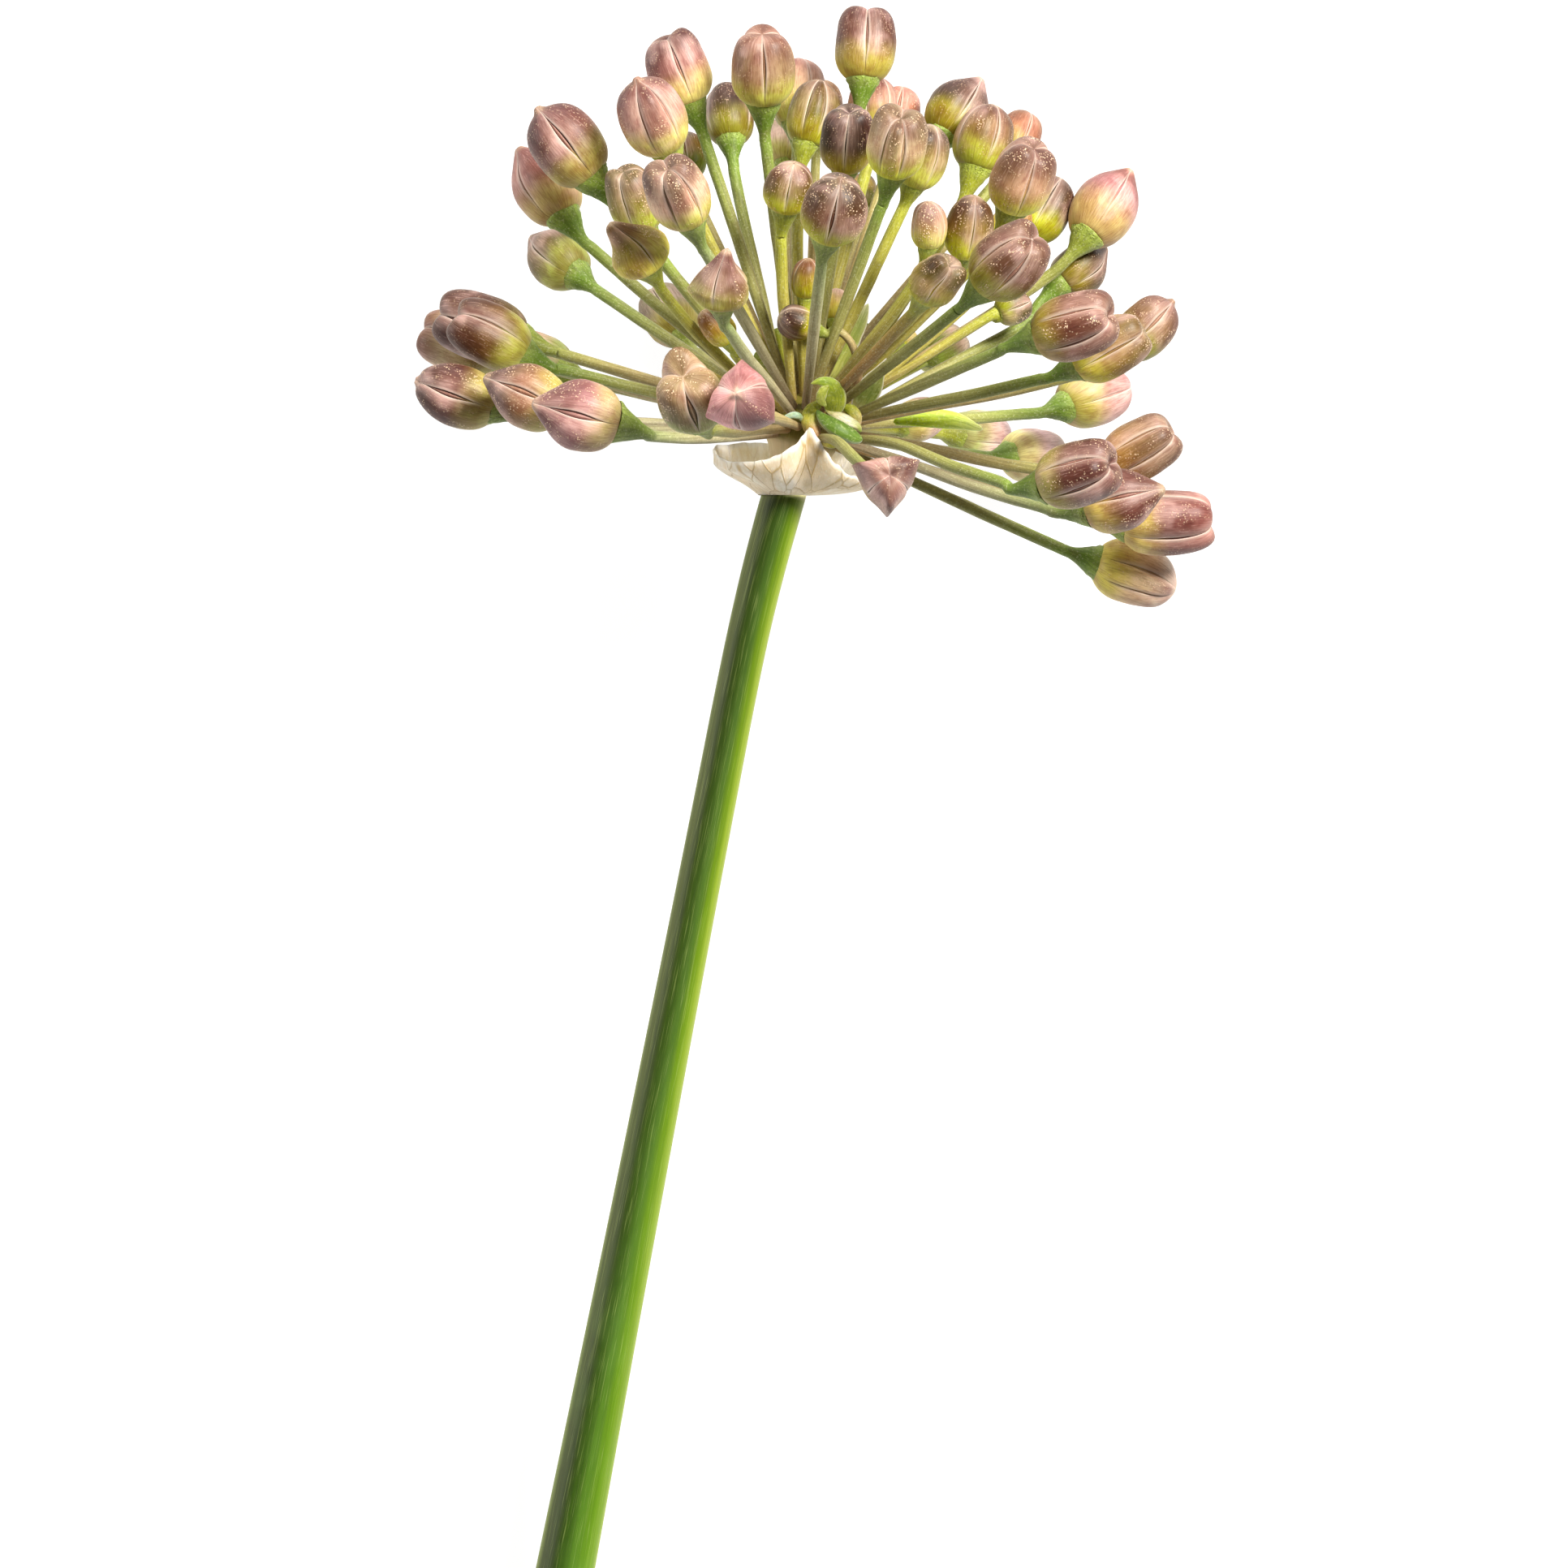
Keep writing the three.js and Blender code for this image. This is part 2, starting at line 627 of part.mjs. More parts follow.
export default standAtOrigin(tipOntoBuds(plant()));
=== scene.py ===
"""A cut allium in bud, lying on its side: its looks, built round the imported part.

Lengths are millimetres while a piece is shaped, and metres once it is placed. The head's own
frame has its origin at the knob's centre: +X to the right, +Y the way the plant grew and +Z
towards the side that ends up on top.
"""

from __future__ import annotations

import logging
import math
from dataclasses import dataclass, field
from enum import Enum
from typing import Callable, Sequence

import bmesh
import bpy
from mathutils import Matrix, Vector, noise


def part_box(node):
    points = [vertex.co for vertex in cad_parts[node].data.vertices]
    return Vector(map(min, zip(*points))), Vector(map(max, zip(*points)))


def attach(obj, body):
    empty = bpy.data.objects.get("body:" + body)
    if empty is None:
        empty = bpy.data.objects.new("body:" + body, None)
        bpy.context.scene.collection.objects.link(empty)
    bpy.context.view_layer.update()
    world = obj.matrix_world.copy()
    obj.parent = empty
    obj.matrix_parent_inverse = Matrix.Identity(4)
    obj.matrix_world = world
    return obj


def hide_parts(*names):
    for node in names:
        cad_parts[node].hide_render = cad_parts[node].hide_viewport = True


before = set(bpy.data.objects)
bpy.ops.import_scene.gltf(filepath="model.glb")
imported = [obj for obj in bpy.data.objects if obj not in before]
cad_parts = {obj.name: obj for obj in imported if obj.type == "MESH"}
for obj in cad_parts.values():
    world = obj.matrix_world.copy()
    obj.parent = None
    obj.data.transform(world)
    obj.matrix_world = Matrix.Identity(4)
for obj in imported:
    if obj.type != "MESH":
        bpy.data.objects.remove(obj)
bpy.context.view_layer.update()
MM = 0.001
Colour = tuple[float, float, float]

logging.basicConfig(level=logging.INFO, format="%(message)s")
LOG = logging.getLogger("allium")


# ---- Numbers and colours ----


def rgb(red: float, green: float, blue: float) -> Colour:
    """Turns a screen colour, 0 to 255, into a linear one."""
    return tuple(
        c / 3294.6 if c < 10.31 else ((c / 255 + 0.055) / 1.055) ** 2.4 for c in (red, green, blue)
    )


def mix(first: Sequence[float], second: Sequence[float], share: float) -> Colour:
    """Blends two colours."""
    share = min(max(share, 0.0), 1.0)
    return tuple(a + (b - a) * share for a, b in zip(first, second))


def scaled(colour: Sequence[float], factor: float) -> Colour:
    """Brightens or darkens a colour."""
    return tuple(min(c * factor, 1.0) for c in colour)


def smooth(value: float, low: float, high: float) -> float:
    """Rises smoothly from 0 at low to 1 at high."""
    t = min(max((value - low) / (high - low), 0.0), 1.0)
    return t * t * (3 - 2 * t)


def spline(points: Sequence[Sequence[float]], share: float) -> tuple[float, ...]:
    """Follows a smooth curve through points of any dimension.

    Args:
        points: The points, evenly spaced in the parameter.
        share: How far along, from 0 to 1.

    Returns:
        The point there.
    """
    place = min(max(share, 0.0), 1.0) * (len(points) - 1)
    index = min(int(place), len(points) - 2)
    t = place - index
    b, c = points[index], points[index + 1]
    a = points[index - 1] if index > 0 else [2 * q - r for q, r in zip(b, c)]
    d = points[index + 2] if index + 2 < len(points) else [2 * r - q for q, r in zip(b, c)]
    return tuple(
        0.5 * (2 * q + (r - p) * t + (2 * p - 5 * q + 4 * r - s) * t * t + (3 * q - p - 3 * r + s) * t**3)
        for p, q, r, s in zip(a, b, c, d)
    )


def stops(table: Sequence[tuple[float, Colour]], value: float) -> Colour:
    """Reads a colour off a table of (place, colour) rows in rising order."""
    if value <= table[0][0]:
        return table[0][1]
    for (low, first), (high, second) in zip(table, table[1:]):
        if value <= high:
            return mix(first, second, smooth(value, low, high))
    return table[-1][1]


# ---- Shader maths ----


class Socket:
    """A shader socket that takes part in Python expressions."""

    def __init__(self, shader: Shader, socket: bpy.types.NodeSocket) -> None:
        """Keeps the socket and the shader it belongs to."""
        self.shader = shader
        self.socket = socket

    def _math(self, operation: str, *values: object, clamp: bool = False) -> Socket:
        """Adds a Math node on the given values."""
        return self.shader.node(
            "ShaderNodeMath", {"operation": operation, "use_clamp": clamp}, dict(enumerate(values))
        )

    def __add__(self, other: object) -> Socket:
        """Adds."""
        return self._math("ADD", self, other)

    def __radd__(self, other: object) -> Socket:
        """Adds to a number."""
        return self._math("ADD", other, self)

    def __sub__(self, other: object) -> Socket:
        """Subtracts."""
        return self._math("SUBTRACT", self, other)

    def __rsub__(self, other: object) -> Socket:
        """Subtracts from a number."""
        return self._math("SUBTRACT", other, self)

    def __mul__(self, other: object) -> Socket:
        """Multiplies."""
        return self._math("MULTIPLY", self, other)

    def __rmul__(self, other: object) -> Socket:
        """Multiplies a number."""
        return self._math("MULTIPLY", other, self)

    def between(self, low: float, high: float) -> Socket:
        """Rises from 0 at low to 1 at high, and stays there."""
        return self.shader.node(
            "ShaderNodeMapRange",
            {"interpolation_type": "SMOOTHSTEP"},
            {"Value": self, "From Min": low, "From Max": high},
        )


class Shader:
    """A material whose nodes are written as expressions."""

    def __init__(self, name: str) -> None:
        """Starts an empty material with its output and its principled surface."""
        self.material = bpy.data.materials.new(name)
        self.material.use_nodes = True
        self.tree = self.material.node_tree
        self.tree.nodes.clear()
        self.output = self.tree.nodes.new("ShaderNodeOutputMaterial")
        self.surface = self.tree.nodes.new("ShaderNodeBsdfPrincipled")
        self.tree.links.new(self.surface.outputs[0], self.output.inputs[0])

    def node(
        self,
        kind: str,
        settings: dict[str, object] | None = None,
        values: dict[object, object] | None = None,
        out: object = 0,
    ) -> Socket:
        """Adds any node.

        Args:
            kind: The node's type.
            settings: Its own settings, which are set first.
            values: What goes into its sockets, by name or number.
            out: Which output is wanted.

        Returns:
            That output.
        """
        node = self.tree.nodes.new(kind)
        for key, value in (settings or {}).items():
            setattr(node, key, value)
        for key, value in (values or {}).items():
            self.feed(node.inputs[key], value)
        return Socket(self, node.outputs[out])

    def feed(self, socket: bpy.types.NodeSocket, value: object) -> None:
        """Links a socket, or sets its value."""
        if isinstance(value, Socket):
            self.tree.links.new(value.socket, socket)
        elif isinstance(value, tuple) and len(value) == 3 and socket.type == "RGBA":
            socket.default_value = (*value, 1.0)
        else:
            socket.default_value = value

    def attribute(self, name: str, out: str) -> Socket:
        """Reads an attribute of the mesh."""
        return self.node("ShaderNodeAttribute", {"attribute_name": name}, out=out)

    def place(self) -> Socket:
        """Reads the object coordinates, in metres."""
        return self.node("ShaderNodeTexCoord", out="Object")

    def noise(self, vector: Socket, scale: float, detail: float = 2.0, rough: float = 0.5) -> Socket:
        """Adds a noise pattern."""
        values = {"Vector": vector, "Scale": scale, "Detail": detail, "Roughness": rough}
        return self.node("ShaderNodeTexNoise", None, values, out="Fac")

    def cells(self, vector: Socket, scale: float, out: str = "Distance") -> Socket:
        """Adds a pattern of cells."""
        return self.node("ShaderNodeTexVoronoi", None, {"Vector": vector, "Scale": scale}, out=out)

    def split(self, colour: Socket) -> tuple[Socket, Socket, Socket]:
        """Splits a colour or vector in three."""
        first = self.node("ShaderNodeSeparateXYZ", None, {0: colour})
        outs = first.socket.node.outputs
        return first, Socket(self, outs[1]), Socket(self, outs[2])

    def inputs(self) -> tuple[Socket, Socket, Socket, tuple[Socket, Socket, Socket]]:
        """Reads the place, the grain, the tint and the three marks of the mesh."""
        marks = self.split(self.attribute("marks", "Vector"))
        return self.place(), self.attribute("grain", "Vector"), self.attribute("tint", "Color"), marks

    def blend(self, factor: object, first: object, second: object, how: str = "MIX") -> Socket:
        """Mixes two colours."""
        return self.node(
            "ShaderNodeMix",
            {"data_type": "RGBA", "blend_type": how},
            {0: factor, 6: first, 7: second},
            out=2,
        )

    def bump(self, height: Socket, depth: float) -> Socket:
        """Turns a height, 0 to 1, into a surface normal; depth is in millimetres."""
        return self.node("ShaderNodeBump", None, {"Height": height, "Distance": depth * MM})

    def dress(self, **values: object) -> bpy.types.Material:
        """Feeds the principled surface and hands the material over; _ stands for a space."""
        for key, value in values.items():
            self.feed(self.surface.inputs[key.replace("_", " ")], value)
        return self.material


# ---- Finishes ----


@dataclass(frozen=True)
class Veil:
    """A veil of colour that a skin takes on as a pattern runs from low to high."""

    low: float
    high: float
    strength: float
    tint: Colour
    how: str = "MIX"

    def over(self, skin: Socket, pattern: Socket, where: Socket | float = 1.0) -> Socket:
        """Lays the veil over a skin, as strongly as where says."""
        factor = pattern.between(self.low, self.high) * self.strength * where
        return skin.shader.blend(factor, skin, self.tint, self.how)


@dataclass(frozen=True)
class BudFinish:
    """The buds' skin: tinted, streaked along the bud, with sugary specks on its ridges."""

    streak_scale: float = 7.0
    broad_scale: float = 260.0
    cloud_scale: float = 420.0
    speck_scale: float = 3800.0
    patch_scale: float = 900.0
    grit_scale: float = 2600.0
    mauve: Veil = Veil(0.46, 0.7, 0.5, rgb(206, 160, 168), "MULTIPLY")
    bloom: Veil = Veil(0.52, 0.72, 0.3, rgb(240, 200, 190))
    umber: Veil = Veil(0.5, 0.34, 0.55, rgb(186, 150, 142), "MULTIPLY")
    dark_line: Veil = Veil(0.54, 0.36, 0.42, rgb(176, 140, 134), "MULTIPLY")
    pale_line: Veil = Veil(0.56, 0.72, 0.2, rgb(240, 200, 190))
    edge: Colour = rgb(232, 214, 200)
    speck: Colour = rgb(246, 214, 178)
    relief_depth: float = 0.05
    roughness: float = 0.46

    def material(self) -> bpy.types.Material:
        """Builds the material."""
        shader = Shader("bud_skin")
        place, grain, skin, (edge, ridge, hollow) = shader.inputs()
        streak = shader.noise(grain, self.streak_scale, 3.0, 0.6)
        broad = shader.noise(place, self.broad_scale, 2.0)
        cloud = shader.noise(place, self.cloud_scale, 3.0, 0.6)
        outer = 1 - hollow
        skin = self.mauve.over(skin, cloud, outer)
        skin = self.bloom.over(skin, broad, outer)
        skin = self.umber.over(skin, broad)
        skin = self.dark_line.over(skin, streak)
        skin = self.pale_line.over(skin, streak, outer)
        skin = shader.blend(edge, skin, self.edge)
        speck = shader.cells(place, self.speck_scale).between(0.42, 0.15)
        patch = shader.noise(place, self.patch_scale, 2.0).between(0.42, 0.62)
        sugar = speck * patch * ridge
        skin = shader.blend(sugar * 0.8, skin, self.speck)
        relief = streak * 0.4 + sugar * 0.8 + shader.noise(place, self.grit_scale, 2.0) * 0.3
        return shader.dress(
            Base_Color=skin,
            Roughness=self.roughness - sugar * 0.12,
            Normal=shader.bump(relief, self.relief_depth),
            Subsurface_Weight=0.12,
            Subsurface_Radius=(1.0, 0.5, 0.3),
            Subsurface_Scale=0.0008,
            Sheen_Weight=0.15,
            Sheen_Roughness=0.3,
            Sheen_Tint=(*rgb(255, 226, 190), 1.0),
            Specular_IOR_Level=0.35,
        )


@dataclass(frozen=True)
class StalkFinish:
    """The pedicels and cups: green to brownish, finely speckled."""

    fine_scale: float = 4200.0
    streak_scale: float = 7.0
    cloud_scale: float = 500.0
    bead_scale: float = 3600.0
    brown: Veil = Veil(0.5, 0.75, 0.3, rgb(118, 100, 70))
    speck: Veil = Veil(0.54, 0.7, 0.35, rgb(206, 208, 168))
    line: Colour = rgb(176, 176, 150)
    relief_depth: float = 0.05
    roughness: float = 0.5

    def material(self) -> bpy.types.Material:
        """Builds the material."""
        shader = Shader("stalk_skin")
        place, grain, skin, (wart, _, _) = shader.inputs()
        fine = shader.noise(place, self.fine_scale, 2.0, 0.7)
        streak = shader.noise(grain, self.streak_scale, 2.0)
        cloud = shader.noise(place, self.cloud_scale, 2.0)
        skin = self.brown.over(skin, cloud)
        dark = shader.blend(1.0, skin, self.line, "MULTIPLY")
        skin = shader.blend(streak.between(0.56, 0.4) * 0.5, skin, dark)
        skin = self.speck.over(skin, fine)
        skin = shader.blend(fine.between(0.46, 0.32) * 0.3, skin, dark)
        bead = shader.cells(place, self.bead_scale).between(0.5, 0.1)
        relief = fine * 0.5 + bead * wart + streak * 0.3
        return shader.dress(
            Base_Color=skin,
            Roughness=self.roughness + fine * 0.1,
            Normal=shader.bump(relief, self.relief_depth),
            Subsurface_Weight=0.1,
            Subsurface_Radius=(0.6, 0.8, 0.2),
            Subsurface_Scale=0.0006,
            Sheen_Weight=0.08,
            Sheen_Tint=(*rgb(236, 240, 200), 1.0),
            Specular_IOR_Level=0.35,
        )


@dataclass(frozen=True)
class StemFinish:
    """The stem: smooth and satin, with fine lines along it and a faint bloom low down."""

    line_scale: float = 3.2
    hair_scale: float = 11.0
    cloud_scale: float = 90.0
    pit_scale: float = 900.0
    line: Veil = Veil(0.56, 0.38, 0.28, rgb(205, 212, 190), "MULTIPLY")
    hair: Veil = Veil(0.55, 0.7, 0.16, rgb(190, 205, 120))
    bloom: Veil = Veil(0.4, 0.7, 0.22, rgb(120, 158, 80))
    pit: Colour = rgb(120, 140, 60)
    relief_depth: float = 0.03
    roughness: float = 0.42

    def material(self) -> bpy.types.Material:
        """Builds the material."""
        shader = Shader("stem_skin")
        place, grain, skin, (bloom, cut, _) = shader.inputs()
        line = shader.noise(grain, self.line_scale, 3.0, 0.6)
        hair = shader.noise(grain, self.hair_scale, 2.0)
        cloud = shader.noise(place, self.cloud_scale, 3.0, 0.6)
        pit = shader.cells(place, self.pit_scale).between(0.3, 0.1)
        skin = self.line.over(skin, line)
        skin = self.hair.over(skin, hair)
        skin = self.bloom.over(skin, cloud, bloom)
        skin = shader.blend(cut * pit * 0.5, skin, self.pit)
        relief = line * 0.5 + hair * 0.25 + cut * pit
        return shader.dress(
            Base_Color=skin,
            Roughness=self.roughness + cloud * 0.1,
            Normal=shader.bump(relief, self.relief_depth),
            Subsurface_Weight=0.15,
            Subsurface_Radius=(0.8, 1.0, 0.2),
            Subsurface_Scale=0.001,
            Specular_IOR_Level=0.28,
        )


@dataclass(frozen=True)
class PaperFinish:
    """The spathe: thin dry paper with a net of tan veins."""

    net_scale: float = 0.7
    line_scale: float = 2.2
    fibre_scale: float = 8.0
    crease_scale: float = 520.0
    fold: Veil = Veil(0.5, 0.74, 0.3, rgb(214, 184, 134))
    line: Veil = Veil(0.56, 0.42, 0.28, rgb(208, 178, 124))
    fibre: Veil = Veil(0.55, 0.7, 0.4, rgb(250, 244, 226))
    vein: Colour = rgb(188, 150, 84)
    vein_strength: float = 0.7
    rim: Colour = rgb(252, 248, 238)
    relief_depth: float = 0.16
    roughness: float = 0.6

    def material(self) -> bpy.types.Material:
        """Builds the material."""
        shader = Shader("spathe_paper")
        place, grain, skin, (inside, rim, _) = shader.inputs()
        cells = {"Vector": grain, "Scale": self.net_scale}
        net = shader.node("ShaderNodeTexVoronoi", {"feature": "DISTANCE_TO_EDGE"}, cells, "Distance")
        net = net.between(0.05, 0.0)
        line = shader.noise(grain, self.line_scale, 3.0, 0.6)
        fibre = shader.noise(grain, self.fibre_scale, 2.0)
        crease = shader.noise(place, self.crease_scale, 4.0, 0.6)
        skin = self.fold.over(skin, crease)
        skin = self.line.over(skin, line)
        skin = shader.blend(net * self.vein_strength * (1 - inside), skin, self.vein)
        skin = self.fibre.over(skin, fibre)
        skin = shader.blend(rim, skin, self.rim)
        relief = crease * 0.7 + fibre * 0.25 + net * 0.4
        return shader.dress(
            Base_Color=skin,
            Roughness=self.roughness - line * 0.15,
            Normal=shader.bump(relief, self.relief_depth),
            Subsurface_Weight=0.35,
            Subsurface_Radius=(1.0, 0.8, 0.5),
            Subsurface_Scale=0.0012,
            Sheen_Weight=0.2,
            Specular_IOR_Level=0.4,
        )


@dataclass(frozen=True)
class LeafFinish:
    """The small fleshy leaves in the head: soft green, pale at their edges."""

    line_scale: float = 6.0
    fine_scale: float = 3200.0
    line: Veil = Veil(0.58, 0.38, 0.7, rgb(190, 205, 160), "MULTIPLY")
    speck: Veil = Veil(0.52, 0.7, 0.25, rgb(226, 230, 170))
    edge: Colour = rgb(246, 238, 226)
    relief_depth: float = 0.05
    roughness: float = 0.45

    def material(self) -> bpy.types.Material:
        """Builds the material."""
        shader = Shader("leaf_skin")
        place, grain, skin, (edge, _, _) = shader.inputs()
        line = shader.noise(grain, self.line_scale, 3.0, 0.6)
        fine = shader.noise(place, self.fine_scale, 2.0)
        skin = self.line.over(skin, line)
        skin = self.speck.over(skin, fine)
        skin = shader.blend(edge, skin, self.edge)
        return shader.dress(
            Base_Color=skin,
            Roughness=self.roughness + fine * 0.12,
            Normal=shader.bump(line * 0.7 + fine * 0.3, self.relief_depth),
            Subsurface_Weight=0.25,
            Subsurface_Radius=(0.8, 1.0, 0.2),
            Subsurface_Scale=0.001,
            Sheen_Weight=0.15,
            Specular_IOR_Level=0.4,
        )


@dataclass(frozen=True)
class TableFinish:
    """The pale surface that the flower lies on, lit softly from below as well."""

    glow: float = 0.93

    def material(self) -> bpy.types.Material:
        """Builds the material."""
        shader = Shader("table_white")
        return shader.dress(
            Base_Color=rgb(120, 120, 120),
            Roughness=0.9,
            Specular_IOR_Level=0.0,
            Emission_Color=(*rgb(255, 255, 255), 1.0),
            Emission_Strength=self.glow,
        )


# ---- Shaping ----


@dataclass
class Spot:
    """One crossing of a grid: its place and what its finish reads there."""

    place: Vector
    tint: Colour
    grain: tuple[float, float, float] = (0.0, 0.0, 0.0)
    marks: tuple[float, float, float] = (0.0, 0.0, 0.0)


@dataclass
class Piece:
    """A mesh in the making, which becomes one object."""

    name: str
    mesh: bmesh.types.BMesh = field(default_factory=bmesh.new)

    def __post_init__(self) -> None:
        """Adds the layers that the finishes read."""
        self.tint = self.mesh.verts.layers.float_color.new("tint")
        self.grain = self.mesh.verts.layers.float_vector.new("grain")
        self.marks = self.mesh.verts.layers.float_vector.new("marks")

    def lay(self, columns: int, rows: int, spot: Callable[[int, int], Spot], material: int = 0) -> None:
        """Lays a grid over a closed form, and welds its seam and poles.

        Args:
            columns: Faces round the form.
            rows: Faces along it.
            spot: Gives the place and marks of a column and row.
            material: Which of the piece's materials it takes.
        """
        made = bmesh.ops.create_grid(self.mesh, x_segments=columns, y_segments=rows, size=1.0)["verts"]
        faces = {face for vert in made for face in vert.link_faces}
        for vert in made:
            column = round((vert.co.x + 1) / 2 * columns) % columns
            row = round((vert.co.y + 1) / 2 * rows)
            here = spot(column, row)
            vert.co = here.place
            vert[self.tint] = (*here.tint, 1.0)
            vert[self.grain] = here.grain
            vert[self.marks] = here.marks
        for face in faces:
            face.material_index = material
            face.smooth = True
        bmesh.ops.remove_doubles(self.mesh, verts=made, dist=1e-5)

    def place(
        self,
        materials: Sequence[bpy.types.Material],
        slot: str | None,
        replaces: str | None = None,
    ) -> bpy.types.Object:
        """Turns the mesh into an object that rides on the plant.

        Args:
            materials: Its materials.
            slot: Not used.
            replaces: The CAD node that it stands for.

        Returns:
            The object.
        """
        bmesh.ops.dissolve_degenerate(self.mesh, edges=self.mesh.edges, dist=1e-6)
        bmesh.ops.recalc_face_normals(self.mesh, faces=self.mesh.faces)
        bmesh.ops.scale(self.mesh, vec=(MM, MM, MM), verts=self.mesh.verts)
        data = bpy.data.meshes.new(self.name)
        self.mesh.to_mesh(data)
        self.mesh.free()
        for material in materials:
            data.materials.append(material)
        thing = bpy.data.objects.new(self.name, data)
        bpy.context.scene.collection.objects.link(thing)
        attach(thing, "root")
        if replaces:
            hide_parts(replaces)
        LOG.info("%s: %d faces", self.name, len(data.polygons))
        return thing


@dataclass
class Spine:
    """The rings of a CAD node, from its outer pole to its inner one, in millimetres."""

    pole: Vector
    rings: list[list[Vector]]

    @classmethod
    def of(cls, node: str, rank: Callable[[Vector], float]) -> Spine:
        """Walks over a node's mesh.

        Args:
            node: The CAD node.
            rank: Tells its outer pole, which ranks higher, from its inner one.

        Returns:
            Its rings.
        """
        mesh = bmesh.new()
        mesh.from_mesh(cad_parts[node].data)
        bmesh.ops.remove_doubles(mesh, verts=mesh.verts, dist=1e-6)
        most = max(len(vert.link_edges) for vert in mesh.verts)
        poles = [vert for vert in mesh.verts if len(vert.link_edges) == most]
        start = max(poles, key=lambda vert: rank(vert.co / MM))
        seen, ring, rings = {start}, [start], []
        while ring:
            ring = list({e.other_vert(v) for v in ring for e in v.link_edges} - seen)
            seen.update(ring)
            if ring:
                rings.append([vert.co / MM for vert in ring])
        found = cls(start.co / MM, rings)
        mesh.free()
        return found

    def centre(self, ring: int) -> Vector:
        """Gives the middle of a ring."""
        return sum(self.rings[ring], Vector()) / len(self.rings[ring])

    def radius(self, ring: int) -> float:
        """Gives the mean radius of a ring."""
        middle = self.centre(ring)
        return sum((point - middle).length for point in self.rings[ring]) / len(self.rings[ring])


@dataclass
class Head:
    """The head's own frame, as the plant lies."""

    roll: float = 11.64
    tip: float = 10.99
    knob_radius: float = 4.0

    def __post_init__(self) -> None:
        """Finds the knob's centre at the top of the stem."""
        stem = Spine.of("stem", lambda point: point.y)
        grown = (stem.pole - stem.centre(2)).normalized()
        self.knob = stem.pole - grown * self.knob_radius
        tip = Matrix.Rotation(math.radians(self.tip), 3, "X")
        self.turn = tip @ Matrix.Rotation(math.radians(self.roll), 3, "Z")

    def at(self, x: float, y: float, z: float) -> Vector:
        """Takes a point of the head's frame to where it lies, in millimetres."""
        return self.knob + self.turn @ Vector((x, y, z))

    def along(self, x: float, y: float, z: float) -> Vector:
        """Takes a direction of the head's frame to where it points."""
        return self.turn @ Vector((x, y, z))


@dataclass
class Course:
    """A smooth line with a steady frame along it."""

    points: list[Vector]
    steps: int
    shares: list[float] | None = None

    def __post_init__(self) -> None:
        """Carries the frame along the line without twist."""
        shares = self.shares or [i / self.steps for i in range(self.steps + 1)]
        self.places = [Vector(spline(self.points, share)) for share in shares]
        ahead = [Vector(spline(self.points, min(share + 0.004, 1.0))) for share in shares]
        behind = [Vector(spline(self.points, max(share - 0.004, 0.0))) for share in shares]
        self.tangents = [(a - b).normalized() for a, b in zip(ahead, behind)]
        side = self.tangents[0].orthogonal().normalized()
        self.sides = []
        for tangent in self.tangents:
            side = (side - tangent * side.dot(tangent)).normalized()
            self.sides.append(side.copy())

    def spoke(self, row: int, angle: float) -> Vector:
        """Gives the direction outwards at an angle round the line."""
        side, tangent = self.sides[row], self.tangents[row]
        return side * math.cos(angle) + tangent.cross(side) * math.sin(angle)


# ---- Florets ----


class Top(Enum):
    """How a bud closes, as its height and reach from the base up, in shares."""

    DOMED = (
        (0.56, 0.98), (0.66, 0.93), (0.75, 0.85), (0.83, 0.74), (0.89, 0.61), (0.94, 0.45),
        (0.98, 0.27), (1.0, 0.12), (1.0, 0.0),
    )
    NUBBED = (
        (0.56, 0.98), (0.66, 0.93), (0.75, 0.84), (0.83, 0.71), (0.89, 0.55), (0.935, 0.37),
        (0.965, 0.2), (1.02, 0.09), (1.03, 0.0),
    )
    BEAKED = (
        (0.56, 0.95), (0.65, 0.85), (0.73, 0.71), (0.8, 0.56), (0.87, 0.42), (0.93, 0.3),
        (0.98, 0.2), (1.02, 0.11), (1.03, 0.0),
    )
    PEAKED = (
        (0.5, 0.97), (0.56, 0.9), (0.63, 0.79), (0.7, 0.66), (0.77, 0.52), (0.85, 0.39),
        (0.93, 0.27), (1.0, 0.14), (1.02, 0.0),
    )
    NOTCHED = (
        (0.56, 0.99), (0.66, 0.96), (0.76, 0.91), (0.85, 0.82), (0.91, 0.68), (0.945, 0.5),
        (0.95, 0.3), (0.93, 0.13), (0.92, 0.0),
    )
    HOODED = (
        (0.56, 0.98), (0.66, 0.94), (0.75, 0.87), (0.83, 0.77), (0.89, 0.64), (0.92, 0.47),
        (0.93, 0.28), (0.93, 0.12), (0.93, 0.0),
    )


class Stalk(Enum):
    """The tints of a pedicel, from the knob to its cup."""

    OLIVE = (rgb(175, 139, 102), rgb(179, 158, 107), rgb(150, 154, 76), rgb(126, 137, 43))
    GREEN = (rgb(164, 134, 90), rgb(157, 154, 89), rgb(125, 147, 58), rgb(103, 131, 35))
    BROWN = (rgb(148, 101, 59), rgb(167, 127, 70), rgb(162, 144, 59), rgb(150, 154, 45))
    GLAUCOUS = (rgb(179, 150, 125), rgb(173, 164, 129), rgb(141, 154, 95), rgb(113, 131, 51))
    LIME = (rgb(166, 139, 79), rgb(182, 171, 80), rgb(174, 176, 59), rgb(159, 165, 47))


